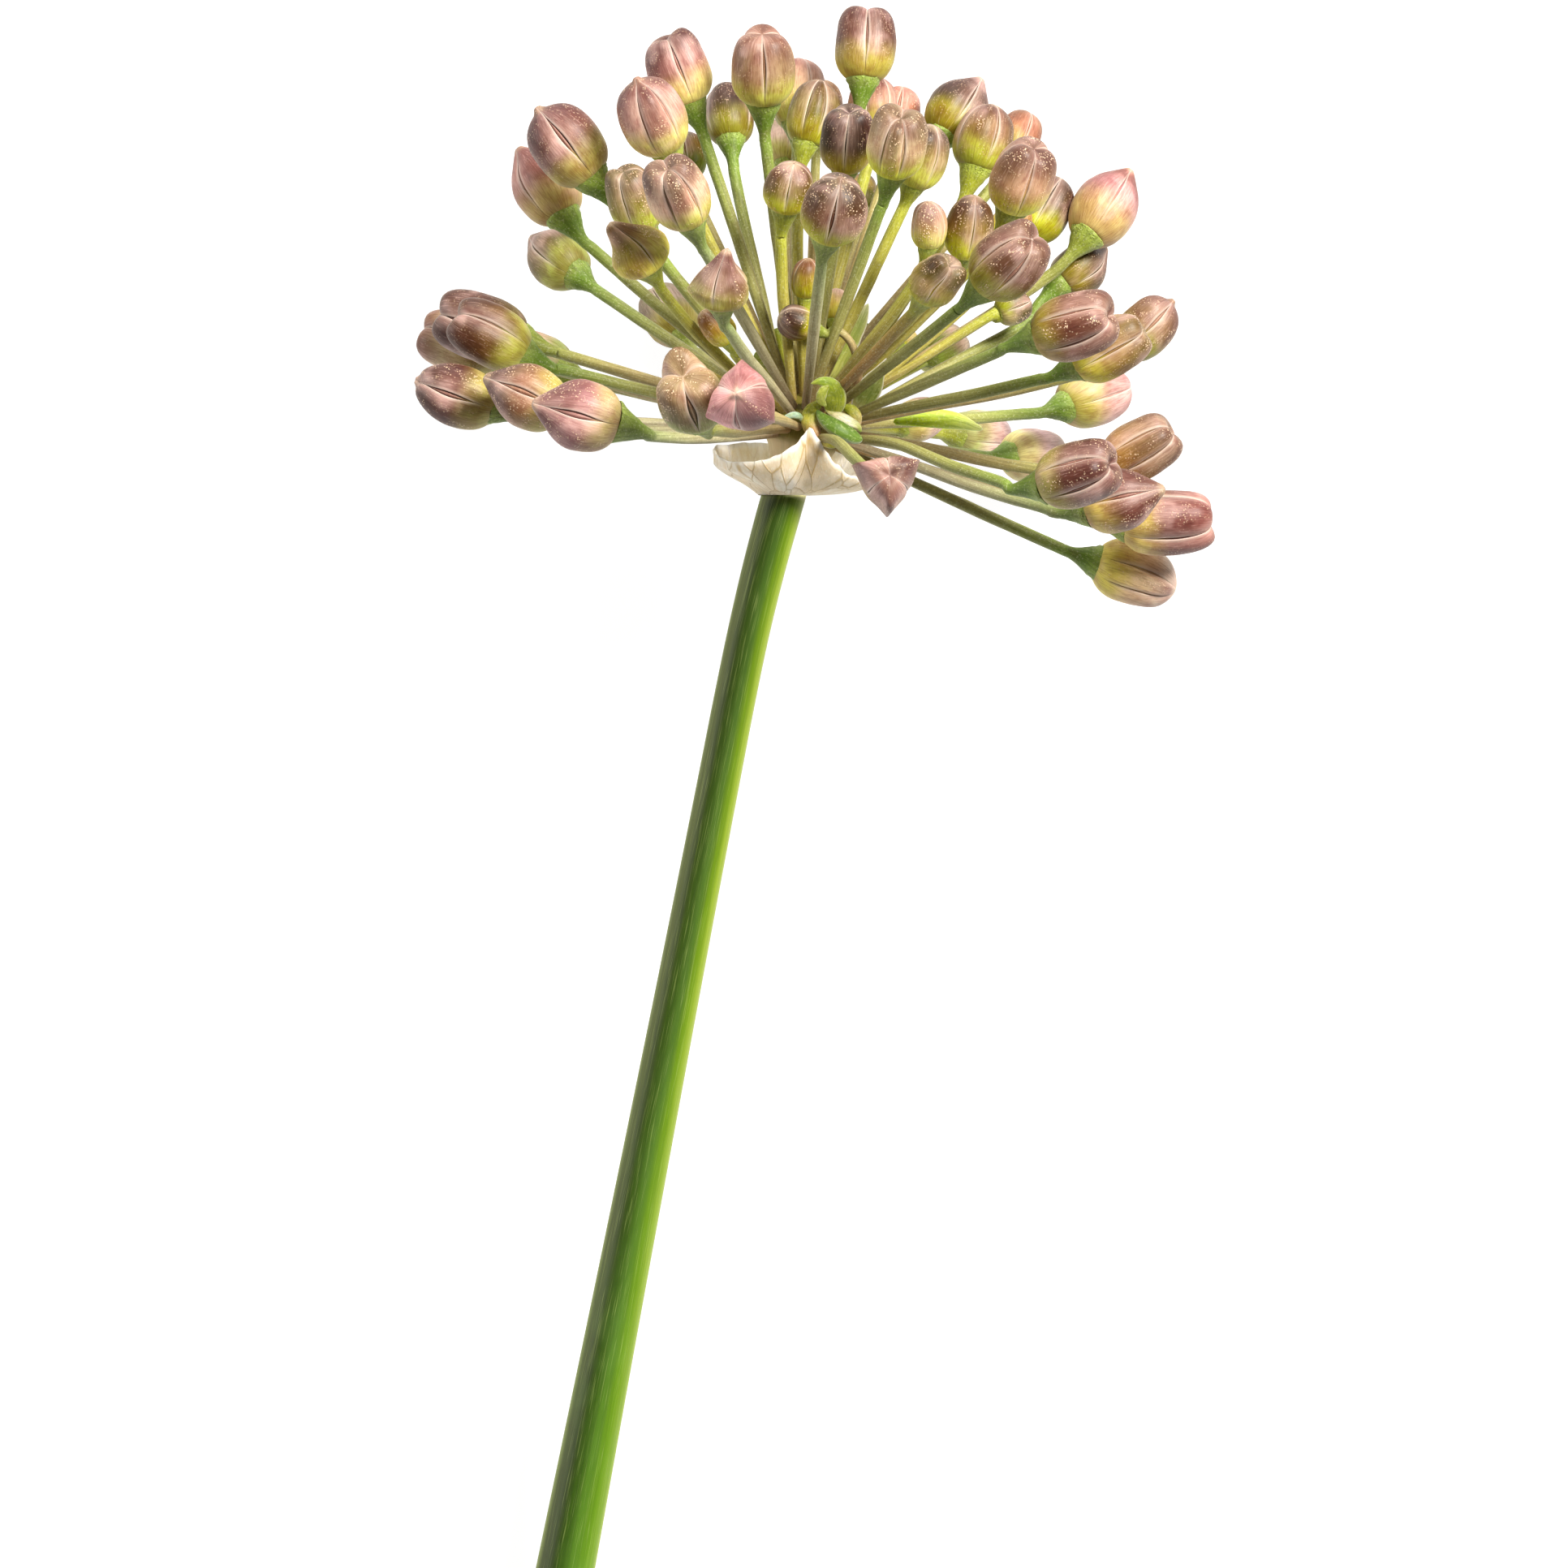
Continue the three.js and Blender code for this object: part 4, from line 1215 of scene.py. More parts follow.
@dataclass
class Florets:
    """All the florets: those with a node of their own and the small ones behind them."""

    head: Head
    skin: bpy.types.Material
    stalk: bpy.types.Material
    foot_depth: float = 0.9
    base_share: float = 0.35
    cup_share: float = 0.29
    spare_depth: float = 0.6
    spare_radius: float = 0.42
    spare_top_radius: float = 0.5

    def build(self) -> None:
        """Builds every floret."""
        for index, (name, look) in enumerate(LOOKS.items()):
            self.dress_node(f"floret_{name}", look, index)
        for index, (name, spare) in enumerate(SPARES.items()):
            self.add_spare(f"floret_spare_{name}", spare, 70 + index)

    def dress_node(self, node: str, look: Look, seed: int) -> None:
        """Builds the floret that stands for a CAD node."""
        spine = Spine.of(node, lambda point: (point - self.head.knob).length)
        width = 2 * spine.radius(2) / 0.9 * look.stout
        points = [spine.centre(ring) for ring in range(9, 3, -1)]
        radii = [spine.radius(ring) for ring in range(9, 5, -1)]
        inward = (self.head.knob - points[0]).normalized()
        points.insert(0, points[0] + inward * self.foot_depth)
        radii.insert(0, radii[0] * 1.05)
        self.assemble(node, look, points, radii, spine.centre(4), spine.pole, width, seed, node)

    def add_spare(self, name: str, spare: Spare, seed: int) -> None:
        """Builds a floret that has no node."""
        base, tip = self.head.at(*spare.base), self.head.at(*spare.tip)
        course = [self.head.at(*point) for point in spare.course]
        if not course:
            start = self.head.along(*spare.base).normalized()
            course = [self.head.knob + start * (self.head.knob_radius - self.spare_depth)]
            course.append(course[0].lerp(base, 0.45))
        back = (base - tip).normalized()
        points = [*course, base + back * 1.8, base]
        radii = [self.spare_radius] * (len(points) - 2) + [self.spare_top_radius]
        self.assemble(name, spare.look, points, radii, base, tip, spare.width, seed, None)

    def assemble(
        self,
        name: str,
        look: Look,
        points: list[Vector],
        radii: list[float],
        base: Vector,
        tip: Vector,
        width: float,
        seed: int,
        node: str | None,
    ) -> None:
        """Puts a stalk and its bud together as one piece."""
        piece = Piece(name)
        span = (tip - base) * (1 - look.long)
        aside = self.head.along(*look.shift, 0)
        base, tip = base + span * self.base_share + aside, tip - span * (1 - self.base_share) + aside
        points[-2] += aside * 0.7
        last = len(points) - 1
        for index in range(1, last):
            points[index] += self.head.along(0, -look.sag * math.sin(math.pi * index / last), 0)
        points[last] = base
        up = self.head.along(0, 0, 1)
        if abs((tip - base).normalized().dot(up)) > 0.93:
            up = self.head.along(0, 1, 0)
        Bud(look, base, tip, width, up, seed).build(piece, 0)
        cup_start = (last - 1) / last
        cup = width * self.cup_share
        Pedicel(points, radii, cup, look.stalk, seed, cup_start=cup_start).build(piece, 1)
        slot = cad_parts[node].material_slots[0].material.name if node else "bud_young"
        piece.place([self.skin, self.stalk], slot, node)


@dataclass(frozen=True)
class Spare:
    """A small floret, in the head's own frame."""

    base: tuple[float, float, float]
    tip: tuple[float, float, float]
    width: float
    look: Look
    course: tuple[tuple[float, float, float], ...] = ()


SPARES: dict[str, Spare] = {
    "rose": Spare(
        (1.5, 30.8, -13), (2.1, 36.5, -16), 4.5,
        Look(tip=(140, 101, 52), body=(140, 112, 54), base=(129, 127, 33)),
    ),
    "pale": Spare(
        (9.2, 30, -12), (10, 35.7, -14), 5,
        Look(tip=(163, 100, 78), body=(161, 102, 72), base=(141, 106, 41)),
    ),
    "hook": Spare(
        (0.75, 10.4, 6), (-2.5, 11.6, 7), 3.6,
        Look((60, 180, 300), (2, 2, 2), tip=(19, 8, 7), body=(65, 51, 8), base=(170, 166, 8)),
        ((5.4, 3.4, 3.6), (5.6, 6.2, 4.6), (4.9, 8.8, 5.4), (3.4, 10.2, 5.8)),
    ),
    "lemon": Spare(
        (3.3, 11.25, -3), (3.75, 14.6, -4), 3.4,
        Look(
            (60, 180, 300), (2, 2, 2), tip=(240, 212, 196), body=(221, 196, 94), base=(212, 204, 8),
            stalk=Stalk.LIME,
        ),
    ),
    "low": Spare(
        (20, 12, -2), (23.3, 13.4, -3), 3.4,
        Look(tip=(73, 62, 8), body=(78, 78, 8), base=(147, 152, 23), stalk=Stalk.LIME),
    ),
    "dusk": Spare(
        (-11.7, 26.25, -6), (-12.7, 30.8, -8), 4.2,
        Look(tip=(49, 47, 8), body=(127, 98, 8), base=(96, 109, 8)),
    ),
    "lime": Spare(
        (10, 0.8, -16), (14.2, 2.1, -20), 4.4,
        Look(tip=(240, 212, 196), body=(240, 212, 196), base=(212, 204, 116), stalk=Stalk.LIME),
    ),
    "under": Spare(
        (8.75, 8.3, -20), (10.8, 10.4, -25), 4.2,
        Look(tip=(227, 197, 32), body=(210, 197, 21), base=(191, 197, 9)),
    ),
    "blush": Spare(
        (12.9, 7.9, -26), (16.25, 10.4, -31), 5,
        Look(tip=(119, 115, 86), body=(240, 212, 173), base=(171, 197, 78)),
    ),
    "seed": Spare(
        (6, 23.3, -18), (6, 26.6, -22), 3.2,
        Look(tip=(45, 40, 24), body=(215, 181, 14), base=(102, 107, 8)),
    ),
}


# ---- Stem ----


@dataclass
class Stem:
    """The stem and the knob at its top.

    high and low are its tints from left to right, near the head and near the cut, which carry
    painted shade in a dark band left of the middle and painted light towards the right edge; cut
    rows are (share of the radius, how far out) over the cut face.
    """

    head: Head
    finish: StemFinish
    sides: int = 48
    rows: int = 110
    cut: tuple[tuple[float, float], ...] = (
        (0.985, 0.03), (0.93, 0.06), (0.8, 0.0), (0.5, -0.02), (0.0, -0.03),
    )
    knob: Colour = rgb(118, 108, 38)
    paper: Colour = rgb(214, 198, 162)
    underside: Colour = rgb(110, 138, 44)
    cut_rim: Colour = rgb(186, 204, 130)
    cut_middle: Colour = rgb(222, 228, 190)
    # Left to right: the stem's own greens with painted shade in a dark band left of the middle and painted
    # light on the pale left rim and towards the right edge.
    high: tuple[tuple[float, Colour], ...] = (
        (-1.0, rgb(111, 123, 42)), (-0.8, rgb(78, 88, 21)), (-0.5, rgb(44, 58, 4)),
        (-0.15, rgb(44, 68, 1)), (0.25, rgb(60, 92, 0)), (0.6, rgb(94, 124, 1)),
        (0.86, rgb(132, 153, 24)), (1.0, rgb(153, 167, 64)),
    )
    low: tuple[tuple[float, Colour], ...] = (
        (-1.0, rgb(118, 134, 24)), (-0.8, rgb(50, 62, 2)), (-0.5, rgb(38, 54, 1)),
        (-0.15, rgb(48, 78, 3)), (0.2, rgb(72, 112, 8)), (0.55, rgb(84, 124, 8)),
        (0.86, rgb(100, 136, 4)), (1.0, rgb(142, 166, 20)),
    )

    def build(self) -> None:
        """Builds the stem over its CAD rings."""
        spine = Spine.of("stem", lambda point: point.y)
        count = len(spine.rings) - 1
        points = [spine.pole, *(spine.centre(ring) for ring in range(count))]
        radii = [(0.0,), *((spine.radius(ring),) for ring in range(count))]
        shares = [(i / self.rows) ** 1.1 for i in range(self.rows + 1)] + [1.0] * len(self.cut)
        course = Course(points, len(shares), shares)
        total = len(shares) - 1
        right, grown, up = (self.head.along(*axis) for axis in ((1, 0, 0), (0, 1, 0), (0, 0, 1)))

        def spot(column: int, row: int) -> Spot:
            """Gives one crossing of the stem."""
            angle = 2 * math.pi * column / self.sides
            out = course.spoke(row, angle)
            radius = max(spline(radii, shares[row])[0], 0.0) if row else 0.0
            place = course.places[row].copy()
            cutting = row - (total + 1 - len(self.cut))
            factor = 1.0
            if cutting >= 0:
                factor, outwards = self.cut[cutting]
                radius *= factor
                place += course.tangents[row] * outwards
            distance = (place - self.head.knob).length
            # Across the stem, its own greens carry painted shade in a dark band left of the middle and
            # painted light on the pale left rim and towards the right edge.
            across = out.dot(right)
            skin = mix(stops(self.high, across), stops(self.low, across), smooth(distance, 40, 135))
            if out.dot(up) < 0:
                skin = mix(skin, self.underside, 0.5 * smooth(-out.dot(up), 0.1, 0.7))
            skin = mix(self.knob, skin, smooth(distance, 4.5, 8.0))
            below = -(place - self.head.knob).dot(grown)
            skin = mix(skin, self.paper, smooth(below, 0.8, 2.0) * smooth(below, 6.8, 6.0))
            face = smooth(cutting, -0.5, 1.5) if cutting >= 0 else 0.0
            skin = mix(skin, mix(self.cut_rim, self.cut_middle, 1 - factor), face)
            radius *= 1 + 0.006 * noise.noise(out * 1.5 + Vector((0, distance * 0.03, 0)))
            grain = out * 3.0 + Vector((0, 0, distance * 0.02))
            return Spot(place + out * radius, skin, tuple(grain), (smooth(distance, 60, 130), face, 0.0))

        piece = Piece("stem_skin")
        piece.lay(self.sides, total, spot)
        piece.place([self.finish.material()], "stem", "stem")


# ---- Spathe ----


@dataclass
class Spathe:
    """The papery bowl under the head: a rolled lip, a pointed tip in front and a torn side.

    rim rows are (bearing in degrees, height); beak, tear and rolled are the bearings of the pointed
    tip, the torn stretch and the rolled lip.
    """

    head: Head
    finish: PaperFinish
    radius: float = 9.0
    offset: float = 0.12
    bottom: float = -6.5
    hole: float = 2.75
    roundness: float = 0.96
    wall: float = 0.16
    columns: int = 168
    bands: int = 26
    beak: float = 73.0
    beak_lean: float = 1.1
    tear: float = 40.0
    torn: float = 0.25
    ragged: float = 0.08
    rolled: float = 190.0
    roll_lean: float = 0.55
    pleat_depth: float = 0.26
    ripple: float = 0.12
    left_lift: float = 4.2
    floor: Colour = rgb(244, 216, 180)
    side: Colour = rgb(240, 216, 184)
    raised: Colour = rgb(250, 236, 214)
    lining: Colour = rgb(255, 246, 234)
    crease: Colour = rgb(186, 150, 96)
    rim: tuple[tuple[float, float], ...] = (
        (0, -5.0), (18, -5.2), (36, -5.2), (43, -5.0), (50, -4.5), (57.5, -3.5), (63.5, -2.15),
        (68, -0.95), (71, -0.1), (73, 0.1), (75, -0.2), (77, -0.64), (83.5, -1.65), (95.6, -2.65),
        (105, -3.15), (115, -3.4), (127, -3.4), (139, -3.2), (152, -2.75), (165, -2.2), (180, -1.8),
        (200, -1.4), (250, -1.1), (300, -1.8), (330, -3.4), (360, -5.0),
    )

    def build(self) -> None:
        """Builds the bowl with its two faces."""
        middle = self.neck()

        def rim_height(bearing: float) -> float:
            """Reads the rim's height off its table."""
            for (low, first), (high, second) in zip(self.rim, self.rim[1:]):
                if bearing <= high:
                    return first + (second - first) * smooth(bearing, low, high)
            return self.rim[-1][1]

        def waver(turn: float, count: float, level: float) -> float:
            """Gives a noise that runs round the bowl without a seam."""
            return noise.noise(Vector((math.cos(turn) * count, math.sin(turn) * count, level)))

        def spot(column: int, row: int) -> Spot:
            """Gives one crossing of the bowl, outside first."""
            turn = 2 * math.pi * column / self.columns
            bearing = math.degrees(turn)
            outside = row <= self.bands
            share = (row if outside else 2 * self.bands + 1 - row) / self.bands
            lip = rim_height(bearing)
            ragged = waver(turn, 9, 3.1)
            torn = self.torn * smooth(math.cos(turn - math.radians(self.tear)), 0.5, 1.0)
            lip += ragged * (self.ragged + torn) * smooth(share, 0.6, 1.0)
            bowl = (1 - math.sqrt(1 - self.roundness * share**2)) / (1 - math.sqrt(1 - self.roundness))
            height = self.bottom + (lip - self.bottom) * bowl
            reach = self.hole + (self.radius * (1 + self.offset * math.cos(turn)) - self.hole) * share
            beak = smooth(abs(bearing - self.beak), 16, 0) * smooth(share, 0.55, 1.0)
            reach -= beak * self.beak_lean
            roll = smooth(share, 0.86, 1.0) * smooth(math.cos(turn - math.radians(self.rolled)), 0.0, 0.8)
            reach -= roll * self.roll_lean
            pleat = waver(turn, 2.6, share * 1.5) + 0.45 * waver(turn, 7, share * 2.2)
            reach += pleat * self.pleat_depth * smooth(share, 0.1, 0.6)
            height += self.ripple * waver(turn, 3.1, 7 + share * 2) * share
            height += self.left_lift * share * (1 - share) * smooth(-math.cos(turn), 0.0, 0.9)
            slope = share**2 * math.pi / 3
            if outside:
                reach += self.wall * math.sin(slope)
                height -= self.wall * math.cos(slope)
            place = self.head.at(middle.x + reach * math.cos(turn), height, reach * math.sin(turn))
            skin = mix(self.floor, self.side, share)
            skin = mix(skin, self.raised, smooth(pleat, 0.0, 0.5))
            if not outside:
                skin = mix(skin, self.lining, 0.85)
            line = beak * smooth(abs(bearing - self.beak), 2.2, 0.6)
            skin = mix(skin, self.crease, 0.5 * line)
            grain = Vector((bearing * 0.11, share * 3.2, 0))
            if bearing > 180:
                grain.x = (360 - bearing) * 0.11 + 0.001
            return Spot(
                place, skin, tuple(grain),
                (0.0 if outside else 1.0, 0.6 * smooth(share, 0.97, 1.0), 0.0),
            )

        piece = Piece("spathe_paper")
        self.lay_band(piece, spot)
        piece.place([self.finish.material()], "spathe", "spathe")

    def lay_band(self, piece: Piece, spot: Callable[[int, int], Spot]) -> None:
        """Lays the band that runs up the outside and down the inside, and closes it at the hole."""
        rows = 2 * self.bands + 2
        piece.lay(self.columns, rows, lambda column, row: spot(column, row % rows), 0)

    def neck(self) -> Vector:
        """Gives the stem's place where it passes through the bowl, in the head's frame."""
        low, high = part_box("spathe")
        centre = (low + high) / 2 / MM
        local = self.head.turn.inverted() @ (centre - self.head.knob)
        return Vector((local.x - self.radius * self.offset, 0, 0))


# ---- Small leaves ----


@dataclass
class Leaf:
    """A small fleshy leaf: a curved section carried along a line.

    profile rows are (share along, half width, half thickness, hollow), in millimetres; tints run
    from its foot to its tip.
    """

    name: str
    points: tuple[tuple[float, float, float], ...]
    profile: tuple[tuple[float, float, float, float], ...]
    facing: tuple[float, float, float]
    tints: tuple[Colour, ...]
    pale_edge: float = 0.0
    inner: Colour | None = None
    node: str | None = None
    slot: str = "bract"
    sides: int = 20
    rows: int = 30

    def build(self, head: Head, material: bpy.types.Material) -> None:
        """Builds the leaf.

        Args:
            head: The frame that its points are in.
            material: Its finish.
        """
        points = [head.at(*point) for point in self.points]
        course = Course(points, self.rows)
        facing = head.along(*self.facing)

        def spot(column: int, row: int) -> Spot:
            """Gives one crossing of the leaf."""
            share = row / self.rows
            angle = 2 * math.pi * column / self.sides
            _, half, thick, hollow = spline(self.profile, share)
            tangent = course.tangents[row]
            front = (facing - tangent * facing.dot(tangent)).normalized()
            side = tangent.cross(front)
            across, deep = math.cos(angle), math.sin(angle)
            half, thick = max(half, 0.0), max(thick, 0.0)
            if row in (0, self.rows):
                half = thick = 0.0
            place = course.places[row] + side * (across * half)
            place += front * (deep * thick - hollow * (1 - across * across) * half)
            place += front * 0.12 * half * noise.noise(place * 0.9)
            tint = spline(self.tints, share)
            tint = tuple(min(max(c, 0.0), 1.0) for c in tint)
            if self.inner and deep > 0:
                tint = mix(tint, self.inner, smooth(deep, 0.1, 0.5))
            marks = (self.pale_edge * smooth(abs(across), 0.8, 1.0), 0.0, 0.0)
            grain = side * (across * half) + front * (deep * thick) + Vector((0, 0, share * 1.2))
            return Spot(place, tint, tuple(grain), marks)

        piece = Piece(self.name)
        piece.lay(self.sides, self.rows, spot)
        piece.place([material], self.slot, self.node)


@dataclass
class Heart:
    """The small leaves where the pedicels meet."""

    head: Head
    finish: LeafFinish
    stubs: int = 26
    stub_bearings: tuple[float, float] = (26.0, 152.0)
    stub_reaches: tuple[float, float] = (8.0, 15.0)
    stub_depths: tuple[float, float] = (-1.5, -8.0)

    def leaves(self) -> list[Leaf]:
        """Lists the leaves, each in the head's own frame."""
        lime, green = rgb(160, 168, 40), rgb(104, 134, 40)
        return [
            Leaf(
                "bract_leaf",
                self.bract_line(),
                (
                    (0, 0.5, 0.2, 0), (0.25, 0.9, 0.26, 0.2), (0.5, 1.2, 0.26, 0.3),
                    (0.75, 1.0, 0.24, 0.3), (1, 0.1, 0.1, 0),
                ),
                (-0.4, 0.1, 1),
                (rgb(170, 168, 84), rgb(190, 186, 100), rgb(186, 194, 96), rgb(216, 212, 176)),
                0.7,
                node="inner_bract",
            ),
            Leaf(
                "heart_pod",
                (
                    (1.35, 2.0, 6.4), (2.0, 1.1, 7.2), (3.2, 0.2, 7.5), (4.5, -0.5, 7.3),
                    (5.5, -0.95, 6.7), (5.95, -0.9, 6.1),
                ),
                (
                    (0, 0.1, 0.1, 0), (0.2, 0.6, 0.5, 0), (0.45, 0.9, 0.7, 0), (0.75, 0.9, 0.7, 0),
                    (0.92, 0.6, 0.5, 0), (1, 0.1, 0.1, 0),
                ),
                (0, 0.5, 1),
                (rgb(110, 142, 44), green, green, rgb(112, 138, 46)),
                0.25,
            ),
            Leaf(
                "heart_rim",
                ((2.2, 2.0, 6.8), (3.3, 1.45, 7.0), (4.5, 0.9, 6.9), (5.5, 0.35, 6.4), (5.9, -0.3, 6.1)),
                (
                    (0, 0.1, 0.1, 0), (0.3, 0.5, 0.3, 0), (0.6, 0.62, 0.35, 0),
                    (0.85, 0.42, 0.3, 0), (1, 0.1, 0.1, 0),
                ),
                (0, 0.8, 1),
                (
                    rgb(190, 184, 70), rgb(226, 214, 170), rgb(236, 228, 206), rgb(200, 196, 130),
                    rgb(140, 160, 60),
                ),
                0.3,
            ),
            Leaf(
                "heart_ledge",
                ((4.0, 2.3, 5.6), (4.8, 2.0, 5.9), (5.4, 1.3, 6.0), (5.7, 0.4, 5.9)),
                ((0, 0.3, 0.3, 0), (0.35, 0.62, 0.4, 0), (0.7, 0.6, 0.4, 0), (1, 0.2, 0.2, 0)),
                (0, 0.2, 1),
                (rgb(150, 158, 30), rgb(166, 168, 40), rgb(190, 176, 96), rgb(206, 170, 140)),
            ),
            Leaf(
                "heart_belly",
                ((1.7, 2.7, 5.6), (0.8, 1.9, 5.9), (0.65, 0.7, 6.2), (1.2, -0.4, 6.4), (2.0, -1.3, 6.2)),
                (
                    (0, 0.4, 0.3, 0), (0.3, 0.75, 0.6, 0), (0.6, 0.9, 0.7, 0), (0.85, 0.7, 0.6, 0),
                    (1, 0.2, 0.2, 0),
                ),
                (0, 0, 1),
                (
                    rgb(160, 164, 34), rgb(172, 172, 40), rgb(176, 164, 60), rgb(192, 146, 104),
                    rgb(196, 160, 110),
                ),
            ),
            Leaf(
                "heart_foot",
                ((1.3, 0.2, 5.9), (2.0, -0.8, 6.3), (2.9, -1.4, 6.2), (3.7, -1.5, 5.7)),
                ((0, 0.4, 0.3, 0), (0.4, 0.75, 0.5, 0), (0.75, 0.6, 0.4, 0), (1, 0.15, 0.15, 0)),
                (0, 0, 1),
                (rgb(150, 120, 70), rgb(190, 170, 100), rgb(186, 186, 70), rgb(150, 160, 50)),
                0.3,
            ),
            Leaf(
                "heart_curl",
                (
                    (3.0, 1.7, 6.2), (3.15, 2.8, 7.4), (3.1, 3.8, 8.2), (2.6, 4.6, 8.6),
                    (1.65, 4.85, 8.8), (0.7, 4.6, 8.8),
                ),
                (
                    (0, 0.8, 0.5, 0), (0.2, 1.2, 0.6, 0.1), (0.42, 1.1, 0.6, 0.15),
                    (0.62, 0.75, 0.5, 0.15), (0.82, 0.42, 0.35, 0.1), (1, 0.05, 0.06, 0),
                ),
                (0, 0.1, 1),
                (lime, rgb(178, 186, 50), rgb(170, 184, 48), rgb(152, 174, 50), rgb(190, 194, 90)),
                0.25,
            ),
            Leaf(
                "heart_drop",
                ((2.5, 4.5, 8.8), (1.95, 3.8, 9.0), (1.8, 3.0, 8.6), (2.3, 2.3, 7.8)),
                ((0, 0.25, 0.2, 0), (0.35, 0.5, 0.3, 0), (0.7, 0.5, 0.3, 0), (1, 0.12, 0.12, 0)),
                (0, 0, 1),
                (lime, rgb(186, 190, 84), rgb(172, 180, 60)),
                0.3,
            ),
            Leaf(
                "heart_flap",
                ((5.2, 1.2, 4.8), (6.1, 2.9, 5.2), (7.0, 4.6, 5.6), (7.8, 6.0, 5.8), (8.5, 7.3, 5.8)),
                (
                    (0, 0.5, 0.14, 0), (0.3, 1.2, 0.14, 0.15), (0.6, 1.2, 0.12, 0.2),
                    (0.85, 0.6, 0.1, 0.1), (1, 0.05, 0.05, 0),
                ),
                (0.2, 0, 1),
                (
                    rgb(190, 156, 120), rgb(146, 150, 74), rgb(156, 162, 90), rgb(184, 182, 120),
                    rgb(236, 230, 214),
                ),
                0.85,
            ),
            Leaf(
                "heart_loop",
                ((-2.3, 0.5, 6.2), (-1.9, 1.1, 6.5), (-1.1, 1.45, 6.6), (-0.4, 1.3, 6.5), (-0.2, 0.8, 6.3)),
                ((0, 0.12, 0.12, 0), (0.3, 0.3, 0.2, 0), (0.7, 0.34, 0.2, 0), (1, 0.1, 0.1, 0)),
                (0, 0, 1),
                (rgb(130, 156, 130), rgb(180, 200, 176), rgb(164, 190, 166), rgb(150, 160, 110)),
            ),
            Leaf(
                "heart_lime",
                ((9.2, 0.9, -2.0), (12.0, 1.3, -3.0), (15.5, 1.1, -4.5), (18.5, 0.2, -6.0)),
                ((0, 0.3, 0.3, 0), (0.3, 0.9, 0.4, 0), (0.7, 0.9, 0.4, 0), (1, 0.2, 0.2, 0)),
                (0, 0, 1),
                (rgb(170, 196, 20), rgb(186, 208, 30), rgb(200, 216, 90), rgb(220, 222, 150)),
            ),
        ]

    def bract_line(self) -> tuple[tuple[float, float, float], ...]:
        """Finds the inner bract's line through its CAD rings."""
        spine = Spine.of("inner_bract", lambda point: (point - self.head.knob).length)
        line = [spine.pole, *(spine.centre(ring) for ring in range(len(spine.rings)))]
        back = self.head.turn.inverted()
        return tuple(tuple(back @ (point - self.head.knob)) for point in reversed(line))

    def build(self, stalk: bpy.types.Material) -> None:
        """Builds every leaf, and the stubs between the pedicels, which take the stalk's finish."""
        material = self.finish.material()
        for leaf in self.leaves():
            leaf.build(self.head, material)
        stubs = Piece("heart_stubs")

        def spread(limits: tuple[float, float], turns: float) -> float:
            """Picks a value between two limits by the fraction of a turn."""
            return limits[0] + (limits[1] - limits[0]) * (turns % 1.0)

        tints = (Stalk.BROWN, Stalk.LIME, Stalk.OLIVE)
        for index in range(self.stubs):
            bearing = math.radians(spread(self.stub_bearings, index * 0.618))
            reach = spread(self.stub_reaches, index * 0.377)
            depth = spread(self.stub_depths, index * 0.241)
            grown = Vector((math.cos(bearing), math.sin(bearing), depth / reach))
            ends = [grown.normalized() * 3.2, grown * reach * 0.5, grown * reach]
            points = [self.head.at(*end) for end in ends]
            Pedicel(points, [0.55, 0.5], 0.62, tints[index % len(tints)], index).build(stubs, 0)
        stubs.place([stalk], "bract")


# ---- Studio ----


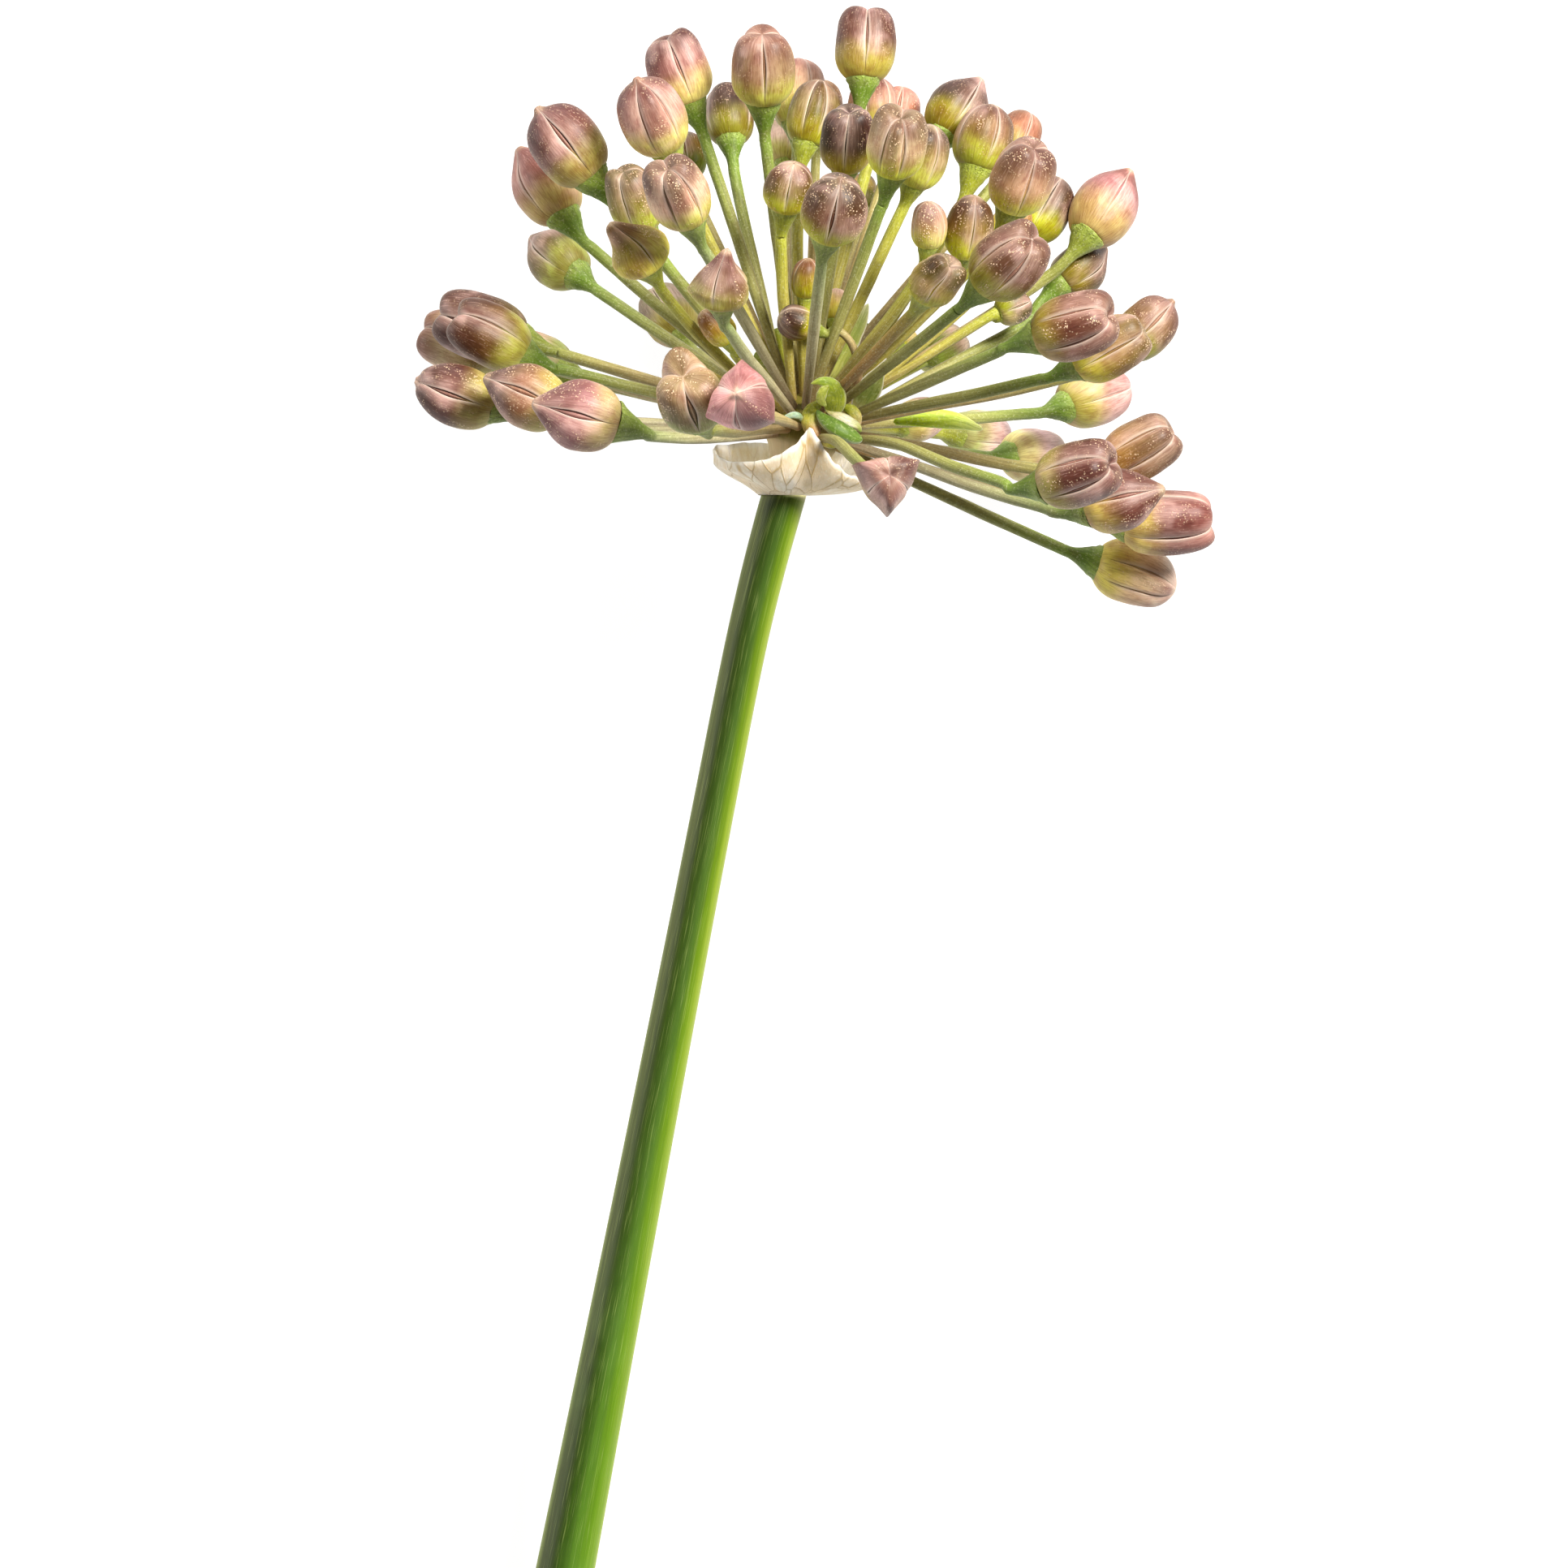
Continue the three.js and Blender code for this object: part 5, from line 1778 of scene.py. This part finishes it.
@dataclass
class Studio:
    """The table, the lamps and the camera."""

    head: Head
    finish: TableFinish
    table_half: float = 3.0
    room_light: float = 0.16
    distance: float = 2.0
    field: float = 0.161
    aim: tuple[float, float, float] = (-2.0, -36.3, 0.0)
    lamps: tuple[tuple[tuple[float, float, float], float, float, Colour], ...] = (
        ((0.55, 0.55, 0.8), 0.4, 28.0, (1.0, 0.965, 0.9)),
        ((-0.9, 0.2, 0.2), 0.6, 4.5, (1.0, 0.98, 0.94)),
        ((-0.1, 1.0, 0.15), 0.8, 6.0, (1.0, 0.98, 0.94)),
    )

    def build(self) -> None:
        """Sets everything up."""
        self.lay_table()
        for index, (place, size, power, tint) in enumerate(self.lamps):
            self.hang_lamp(f"lamp_{index}", place, size, power, tint)
        self.light_room()
        self.set_camera()

    def lay_table(self) -> None:
        """Lays the table flat at height zero, centred on the origin."""
        mesh = bmesh.new()
        bmesh.ops.create_grid(mesh, x_segments=8, y_segments=8, size=self.table_half)
        data = bpy.data.meshes.new("table")
        mesh.to_mesh(data)
        mesh.free()
        data.materials.append(self.finish.material())
        table = bpy.data.objects.new("table", data)
        bpy.context.scene.collection.objects.link(table)

    def hang_lamp(self, name: str, place: Sequence[float], size: float, power: float, tint: Colour) -> None:
        """Hangs a soft lamp that faces the head; place is in the head's frame, in metres."""
        data = bpy.data.lights.new(name, "AREA")
        data.shape, data.size, data.energy, data.color = "DISK", size, power, tint
        lamp = bpy.data.objects.new(name, data)
        lamp.location = self.head.at(*(c / MM for c in place)) * MM
        toward = self.head.at(0, -20, 0) * MM - lamp.location
        lamp.rotation_euler = toward.to_track_quat("-Z", "Y").to_euler()
        bpy.context.scene.collection.objects.link(lamp)

    def light_room(self) -> None:
        """Fills the room with soft white light."""
        world = bpy.data.worlds.new("room")
        bpy.context.scene.world = world
        world.use_nodes = True
        sky = world.node_tree.nodes["Background"]
        sky.inputs["Color"].default_value = (1.0, 1.0, 1.0, 1.0)
        sky.inputs["Strength"].default_value = self.room_light

    def set_camera(self) -> None:
        """Looks down on the flower, with the head's growth pointing up the frame."""
        data = bpy.data.cameras.new("camera")
        data.sensor_width = 36.0
        data.lens = data.sensor_width * self.distance / self.field
        data.clip_end = 20.0
        camera = bpy.data.objects.new("camera", data)
        x, y, z = (self.head.along(*axis) for axis in ((1, 0, 0), (0, 1, 0), (0, 0, 1)))
        turn = Matrix((x, y, z)).transposed().to_4x4()
        place = self.head.at(*self.aim) * MM + z * self.distance
        camera.matrix_world = Matrix.Translation(place) @ turn
        bpy.context.scene.collection.objects.link(camera)
        bpy.context.scene.camera = camera
        bpy.context.scene.view_settings.view_transform = "Standard"


def main() -> None:
    """Builds the flower and its studio."""
    head = Head()
    LOG.info("knob at %s mm", tuple(round(c, 2) for c in head.knob))
    Studio(head, TableFinish()).build()
    Stem(head, StemFinish()).build()
    Spathe(head, PaperFinish()).build()
    stalk = StalkFinish().material()
    Heart(head, LeafFinish()).build(stalk)
    Florets(head, BudFinish().material(), stalk).build()


if __name__ == "__main__":
    main()
